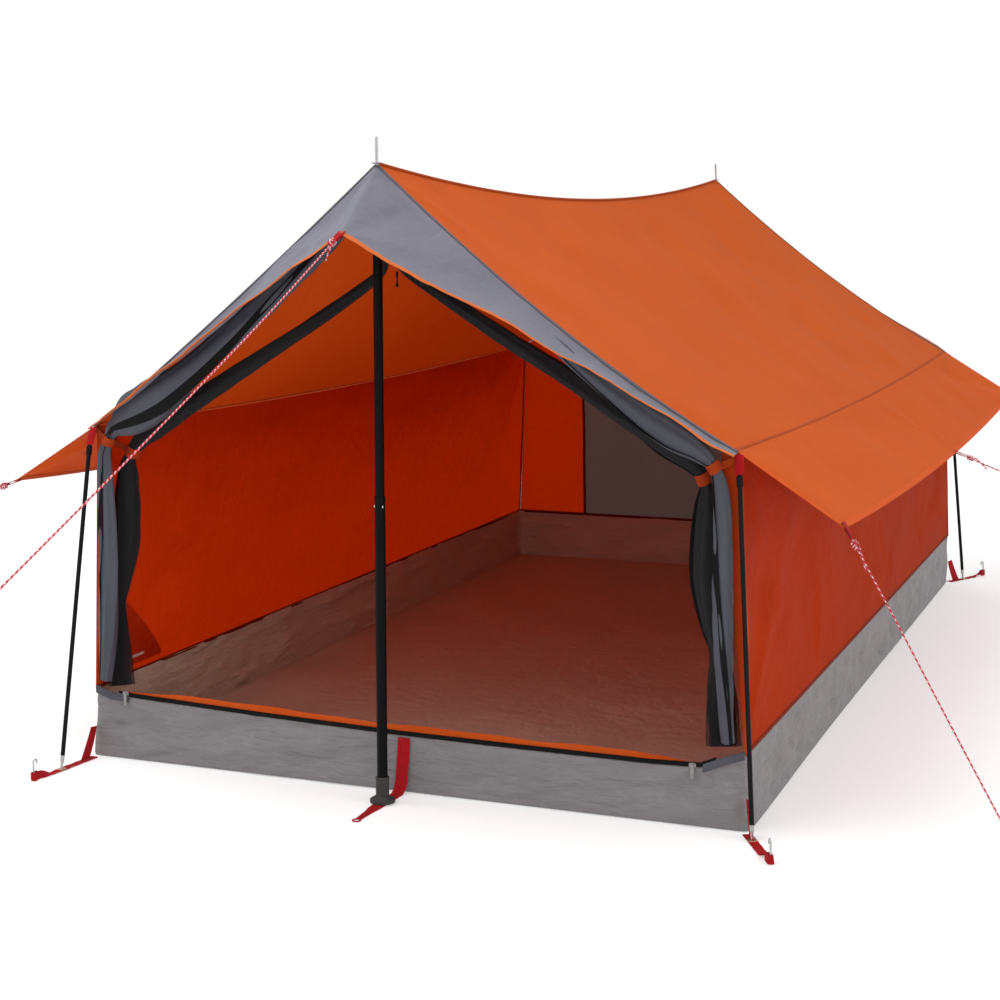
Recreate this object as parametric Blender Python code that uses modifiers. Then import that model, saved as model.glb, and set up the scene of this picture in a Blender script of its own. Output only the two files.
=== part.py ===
"""Two-person ridge tent on two upright poles, with four short corner poles, as separate parts.

Frame: X across the tent, +Y towards the rear (foot) end, +Z up. The origin is on the ground
under the middle of the floor. Metres.
"""

import math

import bmesh
import bpy
from mathutils import Matrix, Vector

# ---------------------------------------------------------------- driving dimensions
HALF_WIDTH = 0.650          # floor, half its width
HALF_LENGTH = 1.203         # floor, half its length
TUB_HEIGHT = 0.140          # bathtub side of the floor
EAVE_X = 0.630              # where the side wall meets the roof
EAVE_Y = 1.206
EAVE_Z = 0.658
HEM_X = 0.813               # lower edge of the flysheet, outside the wall
HEM_Y = 1.220
HEM_Z = 0.542
APEX_Z = 1.146              # roof at the two upright poles
FRONT_APEX_Y = -1.272
REAR_APEX_Y = 1.060
FRONT_FOOT_Y = -1.276
REAR_FOOT_Y = 1.262
HOOD_REACH = 0.152          # how far the hood's tip stands ahead of the apex
HOOD_TIP_Z = 1.025
HOOD_CORNER_Y = 1.236       # the hood's hem where it reaches the eave corner
RIDGE_SAG = 0.060
PANEL_SAG = 0.030
EAVE_SAG = 0.020
HEM_SAG = 0.030
CLOTH = 0.002               # thickness of the fabric solids
GAP = 0.0004                # clearance between pieces that touch

LOWER_TUBE_R = 0.0095
UPPER_TUBE_R = 0.0084
SPIGOT_R = 0.0070
LOWER_BORE_R = 0.0073
SPIKE_R = 0.0026
SPIKE_RISE = 0.048          # spike above the roof
SHOULDER_DROP = 0.026       # top of the tube, below the roof
JOINT_AT = 0.560            # height along the pole where its two sections meet
FOOT_BASE_Z = 0.0027
FOOT_DISC_R = 0.0230

CORNER_POLE_R = 0.0043
CORNER_TIP_R = 0.0028
CORNER_HINGE_Z = 0.0066
CORNER_TOP = (0.637, 1.222, 0.618)

STRAP_THICKNESS = 0.0018
CORNER_STRAP_WIDTH = 0.018
CENTRE_STRAP_WIDTH = 0.024
CORNER_STRAP_GAP = 0.0075   # start of the corner strap, ahead of the floor's corner
STRAP_LIFT = 0.0002 + STRAP_THICKNESS / 2
PEG_WIRE_R = 0.0018
ROPE_R = 0.0015

# name: side (X), end (Y), heading of the strap from the Y axis in degrees, its length, pole foot
CORNERS = {
    "front_left": (-1, -1, 6.0, 0.190, 0.102),
    "front_right": (1, -1, 28.0, 0.160, 0.036),
    "rear_left": (-1, 1, 29.0, 0.166, 0.064),
    "rear_right": (1, 1, 29.0, 0.166, 0.064),
}

ORANGE = (0.62, 0.13, 0.03)
GREY = (0.24, 0.23, 0.25)
DARK_GREY = (0.16, 0.16, 0.18)
MESH_BLACK = (0.012, 0.012, 0.014)
POLE_BLACK = (0.016, 0.016, 0.018)
RED = (0.52, 0.014, 0.02)
STEEL = (0.62, 0.62, 0.64)
BRASS = (0.70, 0.45, 0.30)

# ---------------------------------------------------------------- scene and collections
for old in list(bpy.data.objects):
    bpy.data.objects.remove(old, do_unlink=True)


def collection(name):
    made = bpy.data.collections.new(name)
    bpy.context.scene.collection.children.link(made)
    return made


PARTS = collection("ridge_tent")
CUTTERS = collection("cutters")


def material(name, colour, roughness=0.7, metallic=0.0):
    made = bpy.data.materials.new(name)
    made.use_nodes = True
    shader = made.node_tree.nodes["Principled BSDF"]
    shader.inputs["Base Color"].default_value = (*colour, 1.0)
    shader.inputs["Roughness"].default_value = roughness
    shader.inputs["Metallic"].default_value = metallic
    return made


def place(obj, name, group, finish=None):
    """Names an object, moves it to one collection and gives it a material of its own."""
    obj.name = name
    obj.data.name = name
    for owner in list(obj.users_collection):
        owner.objects.unlink(obj)
    group.objects.link(obj)
    obj.data.materials.clear()
    if finish:
        obj.data.materials.append(material(name, *finish))
    return obj


def add_cutter(obj, name):
    place(obj, name, CUTTERS)
    obj.hide_render = True
    obj.display_type = "WIRE"
    return obj


def cut(obj, cutter):
    step = obj.modifiers.new("cut " + cutter.name, "BOOLEAN")
    step.operation = "DIFFERENCE"
    step.solver = "EXACT"
    step.object = cutter


# ---------------------------------------------------------------- tools for the shapes
def sheet(name, shape, columns, rows, finish, thickness=CLOTH):
    """A cloth panel: a grid laid on shape(u, v), with u and v from 0 to 1, then thickened."""
    bpy.ops.mesh.primitive_grid_add(x_subdivisions=columns, y_subdivisions=rows, size=1.0)
    panel = place(bpy.context.object, name, PARTS, finish)
    for vertex in panel.data.vertices:
        vertex.co = shape(vertex.co.x + 0.5, vertex.co.y + 0.5)
    solid = panel.modifiers.new("thickness", "SOLIDIFY")
    solid.thickness = thickness
    solid.offset = 0.0
    return panel


def turned(name, profile, finish, base=(0, 0, 0), lean=None, steps=16, closed=False):
    """A profile of (radius, height) points turned about Z, then stood on base along lean."""
    mesh = bpy.data.meshes.new(name)
    points = [(radius, 0.0, height) for radius, height in profile]
    edges = [(i, i + 1) for i in range(len(points) - 1)]
    if closed:
        edges.append((len(points) - 1, 0))
    mesh.from_pydata(points, edges, [])
    obj = bpy.data.objects.new(name, mesh)
    PARTS.objects.link(obj)
    place(obj, name, PARTS, finish)
    screw = obj.modifiers.new("turn", "SCREW")
    screw.steps = steps
    screw.render_steps = steps
    screw.use_merge_vertices = True
    screw.merge_threshold = 0.00002
    screw.use_smooth_shade = True
    obj.location = base
    if lean is not None:
        obj.rotation_euler = Vector(lean).to_track_quat("Z", "Y").to_euler()
    return obj


def tube(name, points, radius, finish, radii=None, resolution=2):
    """A round rod or a rolled cloth along points; radii scale the thickness at each point."""
    curve = bpy.data.curves.new(name, "CURVE")
    curve.dimensions = "3D"
    curve.bevel_depth = radius
    curve.bevel_resolution = resolution
    curve.use_fill_caps = True
    spline = curve.splines.new("POLY")
    spline.points.add(len(points) - 1)
    for index, point in enumerate(points):
        spline.points[index].co = (*point, 1.0)
        if radii:
            spline.points[index].radius = radii[index] / radius
    obj = bpy.data.objects.new(name, curve)
    PARTS.objects.link(obj)
    return place(obj, name, PARTS, finish)


def box(name, centre, size, finish, turn=None, bevel=0.0):
    bpy.ops.mesh.primitive_cube_add(size=1.0)
    obj = place(bpy.context.object, name, PARTS, finish)
    obj.data.transform(Matrix.Diagonal((*size, 1.0)))
    obj.location = centre
    if turn is not None:
        obj.rotation_euler = turn
    if bevel:
        edge = obj.modifiers.new("edge", "BEVEL")
        edge.width = bevel
        edge.segments = 2
    return obj


def smooth_path(route, count):
    """count points of even spacing on a smooth (Catmull-Rom) curve through the route."""
    knots = [Vector(p) for p in route]
    ends = [2 * knots[0] - knots[1], *knots, 2 * knots[-1] - knots[-2]]
    fine = []
    for i in range(1, len(ends) - 2):
        p0, p1, p2, p3 = ends[i - 1:i + 3]
        for step in range(40):
            t = step / 40
            fine.append(0.5 * (2 * p1 + (p2 - p0) * t + (2 * p0 - 5 * p1 + 4 * p2 - p3) * t ** 2
                               + (3 * p1 - 3 * p2 + p3 - p0) * t ** 3))
    fine.append(knots[-1])
    travel = [0.0]
    for a, b in zip(fine, fine[1:]):
        travel.append(travel[-1] + (b - a).length)
    result = []
    at = 0
    for i in range(count):
        goal = travel[-1] * i / (count - 1)
        while at < len(fine) - 2 and travel[at + 1] < goal:
            at += 1
        span = max(travel[at + 1] - travel[at], 1e-9)
        result.append(fine[at].lerp(fine[at + 1], min(1.0, (goal - travel[at]) / span)))
    return result


# ---------------------------------------------------------------- the roof's surface
HEM_SPAN = 0.3              # the flysheet below the eave, as a share of its depth above it


def bow(t):
    """A sag that is 0 at both ends and 1 in the middle."""
    return 4 * t * (1 - t)


def roof_point(along, down, side):
    """The flysheet: along 0 (front) to 1 (rear), down 0 (ridge), 1 (eave), 1.3 (hem)."""
    above = min(down, 1.0)
    below = max(down - 1.0, 0.0) / HEM_SPAN
    front_y = FRONT_APEX_Y + (-EAVE_Y - FRONT_APEX_Y) * above
    rear_y = REAR_APEX_Y + (EAVE_Y - REAR_APEX_Y) * above
    front_y -= (HEM_Y - EAVE_Y) * below
    rear_y += (HEM_Y - EAVE_Y) * below
    x = EAVE_X * above + (HEM_X - EAVE_X) * below
    ridge = APEX_Z - RIDGE_SAG * bow(along)
    eave = EAVE_Z - EAVE_SAG * bow(along)
    hem = HEM_Z - HEM_SAG * bow(along)
    z = ridge + (eave - ridge) * above - PANEL_SAG * bow(above)
    if below > 0:
        z = eave + (hem - eave) * below
    return Vector((side * x, front_y + (rear_y - front_y) * along, z))


def fly(side):
    seam = 0.0015           # half the gap along the ridge seam

    def shape(u, v):
        point = roof_point(v, u * (1 + HEM_SPAN), side)
        point.x += side * seam * (1 - u)
        return point

    return shape


for label, side in (("left", -1), ("right", 1)):
    sheet("fly_" + label, fly(side), 13, 12, (ORANGE, 0.6))


def hood(end):
    """A folded triangle of cloth ahead of the roof: u across, v from its hem to the roof seam."""
    apex_y = FRONT_APEX_Y if end < 0 else REAR_APEX_Y
    along = 0.0 if end < 0 else 1.0

    def shape(u, v):
        side = 1 if u > 0.5 else -1
        out = abs(2 * u - 1)
        seam = roof_point(along, out, side)
        seam.y += end * 0.0035
        tip = Vector((0.0, apex_y + end * HOOD_REACH, HOOD_TIP_Z))
        corner = Vector((side * EAVE_X, end * HOOD_CORNER_Y, EAVE_Z - 0.004))
        hem = tip.lerp(corner, out)
        return hem.lerp(seam, v)

    return shape


for label, end in (("front", -1), ("rear", 1)):
    sheet("hood_" + label, hood(end), 20, 4, (GREY, 0.6))

for label, apex_y in (("front", FRONT_APEX_Y), ("rear", REAR_APEX_Y)):
    bpy.ops.mesh.primitive_cylinder_add(vertices=24, radius=0.0065, depth=0.08)
    bpy.context.object.location = (0, apex_y, APEX_Z)
    eyelet = add_cutter(bpy.context.object, "apex_eyelet_" + label)
    for node in ("fly_left", "fly_right", "hood_" + label):
        cut(PARTS.objects[node], eyelet)

# ---------------------------------------------------------------- walls
WALL_FOOT_Z = TUB_HEIGHT + 0.003
WALL_TOP_GAP = 0.007


def side_wall(side):
    def shape(u, v):
        y = (2 * u - 1) * (EAVE_Y - 0.004)
        foot = Vector((side * (HALF_WIDTH - 0.002), y, WALL_FOOT_Z))
        top = Vector((side * (EAVE_X - 0.001), y, EAVE_Z - EAVE_SAG * bow(u) - WALL_TOP_GAP))
        return foot.lerp(top, v)

    return shape


for label, side in (("left", -1), ("right", 1)):
    sheet("wall_" + label, side_wall(side), 12, 3, (ORANGE, 0.6))


def rear_wall(u, v):
    across = 2 * u - 1
    foot = Vector((across * (HALF_WIDTH - 0.010), HALF_LENGTH - 0.004, WALL_FOOT_Z))
    under = roof_point(1.0, abs(across) * 0.985, 1 if across > 0 else -1)
    top = under + Vector((0, -0.010 - 0.034 * (1 - abs(across)), -0.012))
    return foot.lerp(top, v)


sheet("wall_rear", rear_wall, 14, 5, (GREY, 0.6))

# ---------------------------------------------------------------- floor with its raised sides
SILL_X = 0.615
SILL_LINE = ((-SILL_X, 0.129), (0.0, 0.107), (0.560, 0.104), (SILL_X, 0.127))


def sill_height(x):
    """Height of the front sill's top edge, under the door's zip."""
    for (x0, z0), (x1, z1) in zip(SILL_LINE, SILL_LINE[1:]):
        if x <= x1:
            return z0 + (z1 - z0) * (x - x0) / (x1 - x0)
    return SILL_LINE[-1][1]


def tub():
    bpy.ops.mesh.primitive_cube_add(size=1.0)
    floor = place(bpy.context.object, "floor_tub", PARTS, (DARK_GREY, 0.65))
    size = Matrix.Diagonal((2 * HALF_WIDTH, 2 * HALF_LENGTH, TUB_HEIGHT, 1.0))
    floor.data.transform(Matrix.Translation((0, 0, TUB_HEIGHT / 2)) @ size)
    shell = bmesh.new()
    shell.from_mesh(floor.data)
    lid = max(shell.faces, key=lambda face: face.calc_center_median().z)
    bmesh.ops.delete(shell, geom=[lid], context="FACES_ONLY")
    shell.to_mesh(floor.data)
    shell.free()
    solid = floor.modifiers.new("thickness", "SOLIDIFY")
    solid.thickness = CLOTH
    solid.offset = -1.0
    solid.use_even_offset = True
    return floor


def sill_cutter():
    """A slab over the front side's dip, standing along Y."""
    curve = bpy.data.curves.new("sill_cutter", "CURVE")
    curve.dimensions = "2D"
    curve.fill_mode = "BOTH"
    curve.extrude = 0.02
    outline = [*SILL_LINE, (SILL_X, 0.16), (-SILL_X, 0.16)]
    spline = curve.splines.new("POLY")
    spline.points.add(len(outline) - 1)
    spline.use_cyclic_u = True
    for index, (x, z) in enumerate(outline):
        spline.points[index].co = (x, z, 0, 1)
    shape = bpy.data.objects.new("sill_outline", curve)
    bpy.context.scene.collection.objects.link(shape)
    shape.rotation_euler = (math.radians(90), 0, 0)
    shape.location = (0, -HALF_LENGTH, 0)
    bpy.context.view_layer.update()
    mesh = bpy.data.meshes.new_from_object(shape.evaluated_get(bpy.context.evaluated_depsgraph_get()))
    solid = bpy.data.objects.new("sill_dip", mesh)
    solid.matrix_world = shape.matrix_world.copy()
    bpy.context.scene.collection.objects.link(solid)
    bpy.data.objects.remove(shape, do_unlink=True)
    weld = bmesh.new()
    weld.from_mesh(mesh)
    bmesh.ops.remove_doubles(weld, verts=weld.verts, dist=0.00001)
    bmesh.ops.recalc_face_normals(weld, faces=weld.faces)
    weld.to_mesh(mesh)
    weld.free()
    return add_cutter(solid, "sill_dip")


cut(tub(), sill_cutter())

# ---------------------------------------------------------------- door zip on the sill
ZIP_Y = -HALF_LENGTH + 0.001
ZIP_HEIGHT = 0.011
ZIP_THICKNESS = 0.003
ZIP_END = SILL_X - 0.020


def zip_tape(u, v):
    x = (2 * u - 1) * ZIP_END
    return Vector((x, ZIP_Y, sill_height(x) + 0.0008 + ZIP_HEIGHT * v))


sheet("door_zip", zip_tape, 22, 1, (MESH_BLACK, 0.5), ZIP_THICKNESS)

SLIDER_Y = ZIP_Y - ZIP_THICKNESS / 2 - 0.0026
for label, x in (("left", -0.580), ("right", 0.556)):
    z = sill_height(x) + 0.0065
    box("zip_slider_" + label, (x, SLIDER_Y, z), (0.014, 0.004, 0.009), (STEEL, 0.3, 0.9), bevel=0.001)
    hinge = bpy.data.objects.new("zip_pull_pivot_" + label, None)
    PARTS.objects.link(hinge)
    hinge.location = (x, SLIDER_Y - 0.0040, z + 0.002)
    pull = box("zip_pull_" + label, (0, 0, -0.0125), (0.006, 0.0016, 0.028), (STEEL, 0.3, 0.9), bevel=0.0005)
    pull.parent = hinge

# ---------------------------------------------------------------- rolled-back doors
# Each line: x, y, z and radius of the roll, from the ridge to the sill, on the right side. The mesh
# follows the door's own edge, and the outer door lies up inside the hood until it nears the tie.
MESH_ROLL = (
    (0.026, -1.190, 0.938, 0.0060), (0.160, -1.186, 0.866, 0.0090), (0.313, -1.182, 0.778, 0.0115),
    (0.420, -1.180, 0.713, 0.0140), (0.500, -1.178, 0.664, 0.0160), (0.550, -1.178, 0.632, 0.0150),
    (0.572, -1.178, 0.600, 0.0115), (0.575, -1.178, 0.555, 0.0160), (0.574, -1.178, 0.500, 0.0190),
    (0.575, -1.178, 0.440, 0.0200), (0.588, -1.178, 0.360, 0.0210), (0.606, -1.178, 0.290, 0.0200),
    (0.615, -1.178, 0.220, 0.0170), (0.620, -1.178, 0.150, 0.0120),
)
OUTER_ROLL = (
    (0.030, -1.3000, 1.0540, 0.0060), (0.160, -1.2750, 0.9600, 0.0095), (0.313, -1.2550, 0.8440, 0.0120),
    (0.360, -1.2520, 0.8060, 0.0135), (0.420, -1.2480, 0.7600, 0.0145), (0.480, -1.2400, 0.7170, 0.0165),
    (0.530, -1.2350, 0.6840, 0.0160), (0.570, -1.2300, 0.6600, 0.0130), (0.597, -1.2180, 0.6300, 0.0100),
    (0.606, -1.220, 0.590, 0.0150), (0.608, -1.222, 0.520, 0.0170), (0.608, -1.224, 0.430, 0.0180),
    (0.610, -1.224, 0.330, 0.0170), (0.614, -1.223, 0.240, 0.0150), (0.620, -1.220, 0.160, 0.0120),
)
for label, side in (("left", -1), ("right", 1)):
    for kind, roll, colour in (("mesh", MESH_ROLL, MESH_BLACK), ("outer", OUTER_ROLL, GREY)):
        line = [(side * x, y, z) for x, y, z, _ in roll]
        tube("door_" + kind + "_" + label, line, 0.02, (colour, 0.8), [r for *_, r in roll], 3)

# ---------------------------------------------------------------- webbing ties round the rolls
TIE_Z = 0.600
TIE_SQUARENESS = 0.55       # below 1, an ellipse's corners fill out


def rounded(value):
    return math.copysign(abs(value) ** TIE_SQUARENESS, value)


for label, side in (("left", -1), ("right", 1)):
    curve = bpy.data.curves.new("door_tie", "CURVE")
    curve.dimensions = "2D"
    curve.fill_mode = "BOTH"
    curve.extrude = 0.008
    for half_x, half_y in ((0.0375, 0.0430), (0.0395, 0.0450)):
        ring = curve.splines.new("POLY")
        ring.points.add(27)
        ring.use_cyclic_u = True
        for index in range(28):
            angle = 2 * math.pi * index / 28
            across = half_x * rounded(math.cos(angle))
            ahead = half_y * rounded(math.sin(angle))
            ring.points[index].co = (across, ahead, 0, 1)
    tie = bpy.data.objects.new("door_tie_" + label, curve)
    PARTS.objects.link(tie)
    place(tie, "door_tie_" + label, PARTS, (ORANGE, 0.6))
    tie.location = (side * 0.5865, -1.200, TIE_Z)

# ---------------------------------------------------------------- upright poles
for label, apex_y, foot_y in (("front", FRONT_APEX_Y, FRONT_FOOT_Y), ("rear", REAR_APEX_Y, REAR_FOOT_Y)):
    foot_at = Vector((0, foot_y, 0))
    apex_at = Vector((0, apex_y, APEX_Z))
    lean = apex_at - foot_at
    reach = lean.length
    pivot = bpy.data.objects.new("upright_pivot_" + label, None)
    PARTS.objects.link(pivot)
    pivot.location = apex_at
    pivot.rotation_euler = lean.to_track_quat("Z", "Y").to_euler()
    top = -SHOULDER_DROP
    joint = JOINT_AT - reach
    tilt = math.hypot(lean.x, lean.y) / reach
    base = FOOT_BASE_Z + FOOT_DISC_R * tilt - reach
    foot_profile = (
        (0, base + 0.0065), (LOWER_TUBE_R + GAP, base + 0.0065), (LOWER_TUBE_R + GAP, base + 0.046),
        (0.0122, base + 0.046), (0.0122, base + 0.012), (FOOT_DISC_R, base + 0.0055), (FOOT_DISC_R, base),
        (0, base),
    )
    lower_profile = (
        (LOWER_BORE_R, joint), (LOWER_TUBE_R, joint),
        (LOWER_TUBE_R, base + 0.0069), (LOWER_BORE_R, base + 0.0069),
    )
    upper_profile = (
        (0, top), (UPPER_TUBE_R, top), (UPPER_TUBE_R, joint + GAP),
        (SPIGOT_R, joint + GAP), (SPIGOT_R, joint - 0.060), (0, joint - 0.060),
    )
    spike_profile = (
        (0, SPIKE_RISE), (SPIKE_R - 0.0008, SPIKE_RISE - 0.0010), (SPIKE_R, SPIKE_RISE - 0.0025),
        (SPIKE_R, top + 0.004), (0.0055, top + 0.003), (0.0055, top + GAP), (0, top + GAP),
    )
    black = (POLE_BLACK, 0.4)
    pieces = (
        turned("upright_%s_foot" % label, foot_profile, (POLE_BLACK, 0.7), steps=24),
        turned("upright_%s_lower" % label, lower_profile, black, closed=True),
        turned("upright_%s_upper" % label, upper_profile, black),
        turned("upright_%s_spike" % label, spike_profile, (STEEL, 0.25, 1.0)),
    )
    for piece in pieces:
        piece.parent = pivot


# ---------------------------------------------------------------- straps, corner poles and pegs
def heading(side, end, degrees):
    """The level direction that is degrees outwards from straight ahead (or behind)."""
    angle = math.radians(degrees)
    return Vector((side * math.sin(angle), end * math.cos(angle), 0))


def strap(name, start, ahead, profile, width):
    """A band whose middle follows (distance ahead, height) points, level across its width."""
    across = ahead.cross(Vector((0, 0, 1)))
    last = len(profile) - 1

    def shape(u, v):
        at = min(int(u * last + 1e-6), last - 1)
        part = u * last - at
        d = profile[at][0] + (profile[at + 1][0] - profile[at][0]) * part
        z = profile[at][1] + (profile[at + 1][1] - profile[at][1]) * part
        return start + ahead * d + across * (v - 0.5) * width + Vector((0, 0, z))

    return sheet(name, shape, last, 1, (RED, 0.7), STRAP_THICKNESS)


def round_hole(obj, name, centre, radius):
    bpy.ops.mesh.primitive_cylinder_add(vertices=20, radius=radius, depth=0.02)
    bpy.context.object.location = centre
    cut(obj, add_cutter(bpy.context.object, name))


PEG_SHAFT = 0.036
PEG_HOOK_R = 0.0048
PEG_FROM_END = 0.007


def peg(name, centre, side_turn):
    """A round wire peg, standing, with its top bent into a hook."""
    points = [Vector((0, 0, 0.0006)), Vector((0, 0, PEG_SHAFT * 0.5)), Vector((0, 0, PEG_SHAFT))]
    for step in range(1, 9):
        angle = math.pi * step / 8
        points.append(Vector((PEG_HOOK_R * (1 - math.cos(angle)), 0, PEG_SHAFT + PEG_HOOK_R * math.sin(angle))))
    points.append(points[-1] + Vector((0, 0, -0.004)))
    made = tube(name, points, PEG_WIRE_R, (STEEL, 0.35, 1.0))
    made.location = centre
    made.rotation_euler = (0, 0, side_turn)


for label, (side, end, degrees, length, foot_at) in CORNERS.items():
    ahead = heading(side, end, degrees)
    corner = Vector((side * HALF_WIDTH, end * HALF_LENGTH, 0))
    start = corner + ahead * CORNER_STRAP_GAP
    peg_at = length - PEG_FROM_END
    profile = ((0.0, 0.062), (0.007, 0.042), (0.016, 0.012), (0.020, STRAP_LIFT + 0.0010), (0.024, STRAP_LIFT),
               (0.060, STRAP_LIFT), (0.090, STRAP_LIFT), (0.120, STRAP_LIFT), (length, STRAP_LIFT))
    band = strap("strap_" + label, start, ahead, profile, CORNER_STRAP_WIDTH)
    foot = start + ahead * foot_at
    round_hole(band, "strap_eyelet_" + label, foot, 0.0062)
    round_hole(band, "peg_eyelet_" + label, start + ahead * peg_at, 0.0040)
    peg("peg_" + label, start + ahead * peg_at, math.atan2(-ahead.y, -ahead.x))

    hinge_at = foot + Vector((0, 0, CORNER_HINGE_Z))
    top_at = Vector((side * CORNER_TOP[0], end * CORNER_TOP[1], CORNER_TOP[2]))
    lean = top_at - hinge_at
    pivot = bpy.data.objects.new("corner_pivot_" + label, None)
    PARTS.objects.link(pivot)
    pivot.location = hinge_at
    pivot.rotation_euler = lean.to_track_quat("Z", "Y").to_euler()
    reach = lean.length
    tip_profile = (
        (0, 0.022), (CORNER_POLE_R - 0.0003, 0.022), (CORNER_POLE_R - 0.0003, 0.0115),
        (CORNER_TIP_R, 0.0090), (CORNER_TIP_R, -0.0045), (CORNER_TIP_R - 0.0012, -0.0057), (0, -0.0057),
    )
    tube_profile = (
        (0, reach + 0.004), (0.0035, reach + 0.0035), (0.0058, reach), (0.0058, reach - 0.016),
        (CORNER_POLE_R, reach - 0.018), (CORNER_POLE_R, 0.022 + GAP), (0, 0.022 + GAP),
    )
    turned("corner_tip_" + label, tip_profile, (STEEL, 0.3, 1.0), steps=12).parent = pivot
    turned("corner_pole_" + label, tube_profile, (POLE_BLACK, 0.35), steps=12).parent = pivot

for label, end, foot_y in (("front", -1, FRONT_FOOT_Y), ("rear", 1, REAR_FOOT_Y)):
    top_z = 0.100 if end < 0 else 0.130
    reach = abs(foot_y) - HALF_LENGTH
    profile = ((0.0022, top_z), (0.0022, top_z * 0.6), (0.006, 0.040), (0.012, 0.008), (0.018, STRAP_LIFT),
               (reach, STRAP_LIFT), (reach + 0.04, STRAP_LIFT), (reach + 0.08, STRAP_LIFT),
               (reach + 0.124, STRAP_LIFT))
    start = Vector((0.004, end * HALF_LENGTH, 0))
    strap("strap_centre_" + label, start, Vector((0, end, 0)), profile, CENTRE_STRAP_WIDTH)

# ---------------------------------------------------------------- guy tabs and guy ropes
TAB_LENGTH = 0.018
TAB_WIDTH = 0.014
TAB_THICKNESS = 0.0024
RIGHT_FRONT_DROP = Vector((0.300, 0.0, -0.536)).normalized()
SIDE_PULL = Vector((0.90, 0.0, -0.34)).normalized()
FRONT_PULL = Vector((0.0, -0.924, -0.390)).normalized()


def mirrored(vector, side, end=1):
    return Vector((side * vector.x, end * vector.y, vector.z))


MID_HEM = 0.54              # place of the middle guy point along the side hem
TABS = {
    "hood_front": (Vector((0, FRONT_APEX_Y - HOOD_REACH, HOOD_TIP_Z)), FRONT_PULL),
    "hood_rear": (Vector((0, REAR_APEX_Y + HOOD_REACH, HOOD_TIP_Z)), mirrored(FRONT_PULL, 1, -1)),
}
for label, side in (("left", -1), ("right", 1)):
    front_pull = RIGHT_FRONT_DROP if side > 0 else SIDE_PULL
    for where, along, pull in (("front", 0.0, front_pull), ("mid", MID_HEM, SIDE_PULL), ("rear", 1.0, SIDE_PULL)):
        hem = roof_point(along, 1 + HEM_SPAN, side)
        if along == 0.0:
            hem.y += TAB_WIDTH / 2
        if along == 1.0:
            hem.y -= TAB_WIDTH / 2
        TABS[label + "_" + where] = (hem, mirrored(pull, side))

TAB_END = {}
for label, (root, pull) in TABS.items():
    middle = root + pull * (TAB_LENGTH / 2 + 0.0028)
    made = box("tab_" + label, middle, (TAB_WIDTH, TAB_THICKNESS, TAB_LENGTH), (RED, 0.7))
    made.rotation_euler = pull.to_track_quat("Z", "X").to_euler()
    TAB_END[label] = middle + pull * (TAB_LENGTH / 2 + 0.0006)

# Each rope: the tab it leaves, and the points that it passes on its way to its far end.
ROPES = {
    "front": ("hood_front", ((0.0, -1.680, 0.908), (0.0, -1.917, 0.8060), (0.0, -2.200, 0.6880), (0.0, -2.440, 0.5900))),
    "right_front": ("right_front", ((0.905, -1.213, 0.378), (0.990, -1.213, 0.2230), (1.112, -1.213, 0.0030))),
    "right_mid": ("right_mid", ((0.880, 0.098, 0.4850), (0.960, 0.098, 0.4550))),
    "left_front": ("left_front", ((-0.850, -1.213, 0.5300), (-0.900, -1.213, 0.5110))),
}
ROPE_SPACING = 0.012

for label, (tab, route) in ROPES.items():
    line = [TAB_END[tab], *route]
    length = sum((Vector(b) - Vector(a)).length for a, b in zip(line, line[1:]))
    count = min(78, max(6, int(length / ROPE_SPACING)))
    tube("guy_rope_" + label, smooth_path(line, count), ROPE_R, (RED, 0.8))

# ---------------------------------------------------------------- pull of the door's upper zip
PULL_X = 0.010
PULL_Y = -1.212
PULL_TOP_Z = 0.956
PULL_LENGTH = 0.026
pivot = bpy.data.objects.new("door_zip_pull_pivot", None)
PARTS.objects.link(pivot)
pivot.location = (PULL_X, PULL_Y, PULL_TOP_Z)
cord = turned("door_zip_pull", (
    (0, 0.002), (0.0022, 0.001), (0.0022, -0.008), (0.0014, -0.010),
    (0.0014, -PULL_LENGTH + 0.006), (0.0028, -PULL_LENGTH + 0.004), (0.0028, -PULL_LENGTH), (0, -PULL_LENGTH),
), (MESH_BLACK, 0.6), steps=10)
cord.parent = pivot
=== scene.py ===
"""Two-person ridge tent on upright poles: the cloth, webbing, cords and metal that dress its frame.

Metres. X across the tent, +Y to the foot end, +Z up, the ground at 0 under the floor's middle.
"""

import math

import bpy
import numpy as np
from mathutils import Matrix


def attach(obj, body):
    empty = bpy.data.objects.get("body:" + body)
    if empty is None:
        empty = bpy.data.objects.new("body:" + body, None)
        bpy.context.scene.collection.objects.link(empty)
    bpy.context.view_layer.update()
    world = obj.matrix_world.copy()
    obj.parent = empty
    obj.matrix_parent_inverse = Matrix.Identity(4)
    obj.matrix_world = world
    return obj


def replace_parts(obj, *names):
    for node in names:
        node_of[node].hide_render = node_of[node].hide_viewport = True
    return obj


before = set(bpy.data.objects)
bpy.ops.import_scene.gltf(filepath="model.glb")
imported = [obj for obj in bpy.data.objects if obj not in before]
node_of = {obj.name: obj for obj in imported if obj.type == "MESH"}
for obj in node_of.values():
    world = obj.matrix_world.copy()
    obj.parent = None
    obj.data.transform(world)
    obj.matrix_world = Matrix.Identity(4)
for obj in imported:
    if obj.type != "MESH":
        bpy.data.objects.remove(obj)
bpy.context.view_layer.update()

# ---------------- camera
# A standing viewer a few steps off the right front corner, looking in at the open door. The lens
# is long enough to keep the walls upright, and the frame is moved a little off the lens's middle.
scene = bpy.context.scene
lens = bpy.data.cameras.new("door_view")
lens.sensor_width, lens.lens = 36.0, 69.294     # both in mm
lens.shift_x, lens.shift_y = 0.06414, -0.06243
lens.clip_end = 200.0
camera = bpy.data.objects.new("door_view", lens)
scene.collection.objects.link(camera)
scene.camera = camera

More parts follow.
